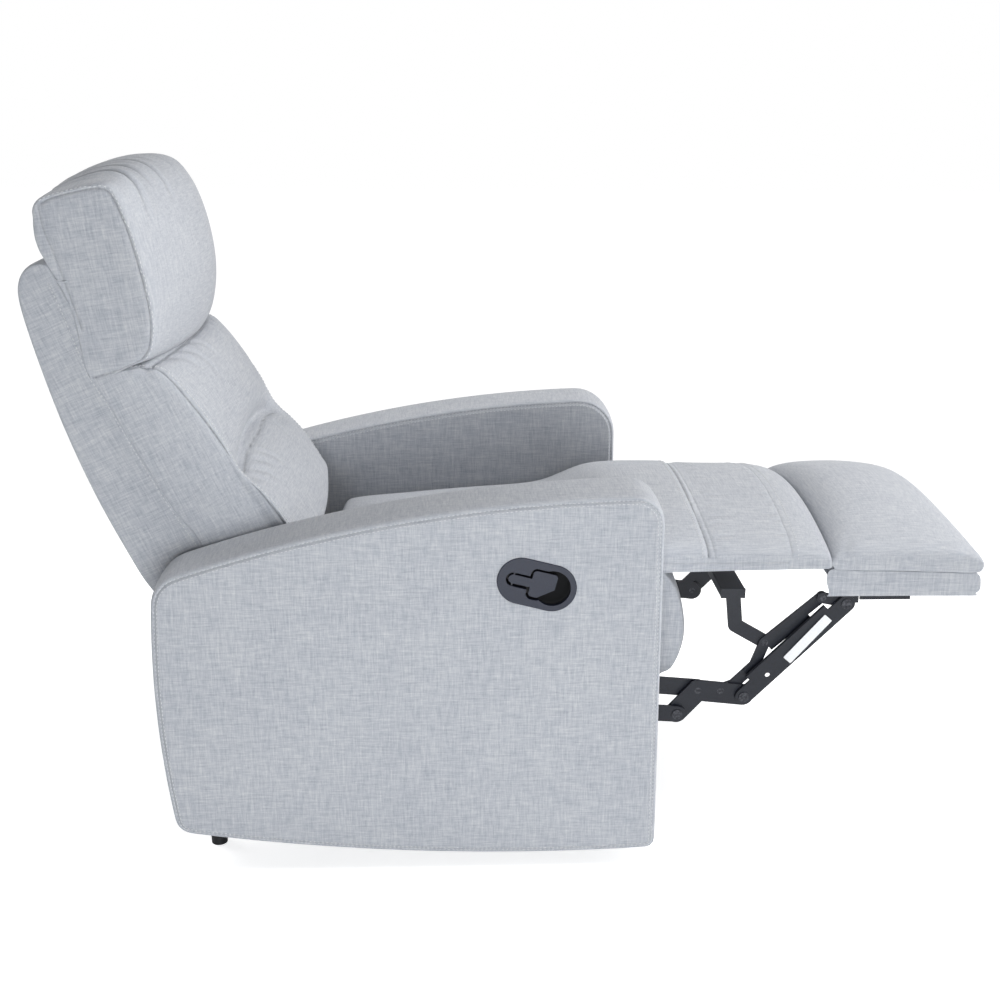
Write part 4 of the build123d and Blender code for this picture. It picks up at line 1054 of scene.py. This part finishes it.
def lumbar_cover(depth):
    """The lumbar cushion, whose two lobes meet at a channel."""
    lumbar_side = [
        (-795, 718), (-748, 733), (-716, 736), (-692, 717), (-661, 678), (-637, 642), (-614, 607),
        (-594, 579),
        (-569, 547), (-543, 510), (-526, 480), (-516, 455), (-556, 432), (-640, 432), (-663, 475),
        (-692, 518),
        (-721, 568), (-758, 640),
    ]
    lumbar_middle = [
        (-799, 720), (-738, 748), (-696, 752), (-661, 735), (-637, 702), (-620, 664), (-608, 632),
        (-602, 607),
        (-581, 580), (-551, 547), (-517, 503), (-500, 460), (-530, 428), (-640, 430), (-664, 475),
        (-696, 518),
        (-727, 568), (-765, 640),
    ]
    lumbar = cushion("lumbar_cover", lumbar_side, lumbar_middle, cushion_half, LUMBAR_STEPS, (0,))

    root, head = at(-640, 0, 430), at(-794, 0, 720)

    def leaned(co):
        """The side panels lean inwards towards the front, by 6 % at 100 mm ahead of the slab."""
        run = (head - root).normalized()
        ahead = (co[:, 0] - root.x) * run.z - (co[:, 2] - root.z) * run.x
        narrowed = co.copy()
        narrowed[:, 1] *= 1 - 0.06 * np.clip(ahead / 0.1, 0, 1) ** 2
        return narrowed

    move_vertices(lumbar, leaned(mesh_arrays(lumbar)[0]))
    edge = [
        (-748, 737), (-716, 737), (-692, 717), (-664, 680), (-640, 645), (-616, 607), (-597, 578),
        (-572, 547),
        (-546, 510), (-528, 480),
    ]
    # A channel pulled in across the middle parts the cushion's two lobes, with painted shade along its line.
    channel = [(-597, 578, 0.92), (-599, 581, 0.84), (-603, 592, 0.5), (-602, 598, 0.25), (-600, 600, 0.0)]
    channel = [(d, h, -share) for d, h, share in channel[:-1]] + list(reversed(channel))
    pulled = leaned(np.array([at(d, share * cushion_side, h) for d, h, share in channel]))
    co, _ = mesh_arrays(lumbar)
    gap, _ = nearest_on_path(co, smooth_path(pulled[1:-1], 0.003))
    inwards = (head - root).normalized().cross(Vector((0, 1, 0)))
    fold = 0.017 * hump(gap, 0.011) + 0.013 * hump(gap, 0.036)
    move_vertices(lumbar, co + np.array(inwards) * fold[:, None])
    press_seam(lumbar, pulled[1:-1], depth * 0.7, 0.003, 0.0, 0.6)
    # The cover is also pulled in under the head pillow, with a painted shadow along that line, and puckers
    # below the channel with faint painted shade.
    tucked = [at(-690 - 34 * s**2, s * cushion_side, 750 - 12 * s**2) for s in np.linspace(-1, 1, 15)]
    press_seam(lumbar, tucked, 0.008, 0.005, 0.0012, 0.5)
    creases = (
        ((-712, -190, 742), (-684, -160, 740), (-658, -142, 718)),
        ((-705, -150, 746), (-674, -122, 742), (-646, -108, 712), (-632, -102, 680)),
        ((-700, -95, 750), (-668, -72, 745), (-642, -62, 712)),
        ((-590, -205, 570), (-578, -186, 562), (-566, -172, 552)),
        ((-590, -176, 576), (-566, -150, 568), (-540, -136, 540)),
        ((-590, -136, 580), (-574, -118, 574), (-560, -108, 562)),
        ((-590, -98, 586), (-560, -76, 572), (-538, -70, 548)),
    )
    for sign in (1, -1):
        folds = [[(d, y * sign, h) for d, y, h in crease] for crease in creases]
        press_folds(lumbar, folds, 0.0016, 0.0055, 0.06)
    # The side seams are pressed in with painted shade along their lines.
    for side, sign in SIDES:
        seam = leaned(np.array([at(d - 2, sign * (cushion_side - 1), h) for d, h in edge]))
        press_seam(lumbar, seam, depth * 0.8, 0.002, 0.0004, 0.6)
        row = leaned(np.array([at(d + 1.5, sign * (cushion_side - 6), h + 2.5) for d, h in edge]))
        stitch("lumbar_stitches_" + side, lumbar, row, (0.0,), "back", 0.0042, 0.0009)
    dress(lumbar, "linen_back", "back")
    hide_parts("lumbar_cushion")


class RECLINER_OT_back(bpy.types.Operator):
    """Back slab, head pillow and lumbar cushion"""

    bl_idname = "recliner.back"
    bl_label = "Back"

    def execute(self, context):
        depth = context.scene.recliner_cloth.seam_depth
        back_slab()
        head_cushion(depth)
        lumbar_cover(depth)
        return {"FINISHED"}


class RECLINER_OT_hardware(bpy.types.Operator):
    """Finishes on the steel, timber and plastic pieces"""

    bl_idname = "recliner.hardware"
    bl_label = "Hardware"

    def execute(self, context):
        finish_of = {
            "black_steel": "steel",
            "rivet_steel": "rivet",
            "latch_plastic": "latch",
            "glide_plastic": "glide",
            "timber": "timber",
            "webbing": "webbing",
            "cable_sleeve": "sleeve",
            "upholstery": "linen",
        }
        # The two rails show under the seat, so they are wrapped in the chair's cloth.
        wrapped = ("front_rail", "rear_rail")
        for part in frame["record"]["subparts"]:
            piece = frame["nodes"][part["node"]]
            finish = "linen" if part["node"] in wrapped else finish_of[part["material_slot"]]
            piece.data.materials.clear()
            piece.data.materials.append(finish_named(finish))
        return {"FINISHED"}


class RECLINER_OT_recess_shade(bpy.types.Operator):
    """Near-black cup behind the latch's paddle, painted shade in the finger recess where the fingers go"""

    bl_idname = "recliner.lining"
    bl_label = "Latch recess shade"

    def execute(self, context):
        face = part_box("latch_lever")[0].y
        reach = (LATCH_LENGTH - LATCH_HEIGHT) / 2
        centre = at(LATCH_AT[0] + reach * math.cos(LATCH_TILT), 0, LATCH_AT[1] - reach * math.sin(LATCH_TILT))
        # A cup 52 mm across and 11.5 mm deep, its floor just behind the lever.
        bm = bmesh.new()
        bmesh.ops.create_circle(
            bm, cap_ends=True, segments=48, radius=0.0262, matrix=Matrix.Rotation(math.pi / 2, 4, "X")
        )
        made = extruded(bm, list(bm.faces), (0, -0.0115, 0))
        lid = [g for g in made if isinstance(g, bmesh.types.BMFace)]
        bmesh.ops.delete(bm, geom=lid, context="FACES_ONLY")
        bmesh.ops.translate(bm, verts=bm.verts, vec=(centre.x, face + 0.0187, centre.z))
        bmesh.ops.solidify(bm, geom=list(bm.faces), thickness=0.0003)
        lining = object_from(bm, "latch_recess_shade")
        dress(lining, "latch_recess_shade", "frame")
        return {"FINISHED"}


class RECLINER_OT_label(bpy.types.Operator):
    """Blank paper label on the right outer footrest link"""

    bl_idname = "recliner.label"
    bl_label = "Blank label"

    def execute(self, context):
        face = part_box("outer_link_right")[0].y / MM
        bm = bmesh.new()
        corners = ((267.5, 354), (279, 344), (220, 274.5), (208.5, 284.5))
        bm.faces.new([bm.verts.new(at(d, face - 0.35, h)) for d, h in corners])
        rounding = {"affect": "VERTICES", "segments": 3, "profile": 0.5, "material": -1}
        bmesh.ops.bevel(bm, geom=list(bm.verts), offset=0.0015, **rounding)
        extruded(bm, list(bm.faces), (0, 0.0003, 0))
        label = object_from(bm, "blank_label")
        for polygon in label.data.polygons:
            polygon.use_smooth = False
        dress(label, "label", "outer_links")
        return {"FINISHED"}


class RECLINER_PT_panel(bpy.types.Panel):
    """Shows the cloth and light settings and a button for each building step in the sidebar"""

    bl_idname = "RECLINER_PT_panel"
    bl_label = "Recliner armchair"
    bl_space_type = "VIEW_3D"
    bl_region_type = "UI"
    bl_category = "Recliner"

    def draw(self, context):
        for name in ("cloth_colour", "seam_depth", "stitch_pitch"):
            self.layout.prop(context.scene.recliner_cloth, name)
        for name in ("key_power", "world_level"):
            self.layout.prop(context.scene.recliner_light, name)
        for step in STEPS:
            self.layout.operator(step.bl_idname)


STEPS = (
    RECLINER_OT_stage,
    RECLINER_OT_hardware,
    RECLINER_OT_recess_shade,
    RECLINER_OT_label,
    RECLINER_OT_arms,
    RECLINER_OT_seat,
    RECLINER_OT_footrest,
    RECLINER_OT_belly,
    RECLINER_OT_back,
)
CLASSES = (RECLINER_PG_cloth, RECLINER_PG_light, *STEPS, RECLINER_PT_panel)


def register():
    for cls in CLASSES:
        bpy.utils.register_class(cls)
    bpy.types.Scene.recliner_cloth = bpy.props.PointerProperty(type=RECLINER_PG_cloth)
    bpy.types.Scene.recliner_light = bpy.props.PointerProperty(type=RECLINER_PG_light)


def unregister():
    del bpy.types.Scene.recliner_light
    del bpy.types.Scene.recliner_cloth
    for cls in reversed(CLASSES):
        bpy.utils.unregister_class(cls)


def main():
    register()
    for step in STEPS:
        group, name = step.bl_idname.split(".")
        getattr(getattr(bpy.ops, group), name)()


if __name__ == "__main__":
    main()
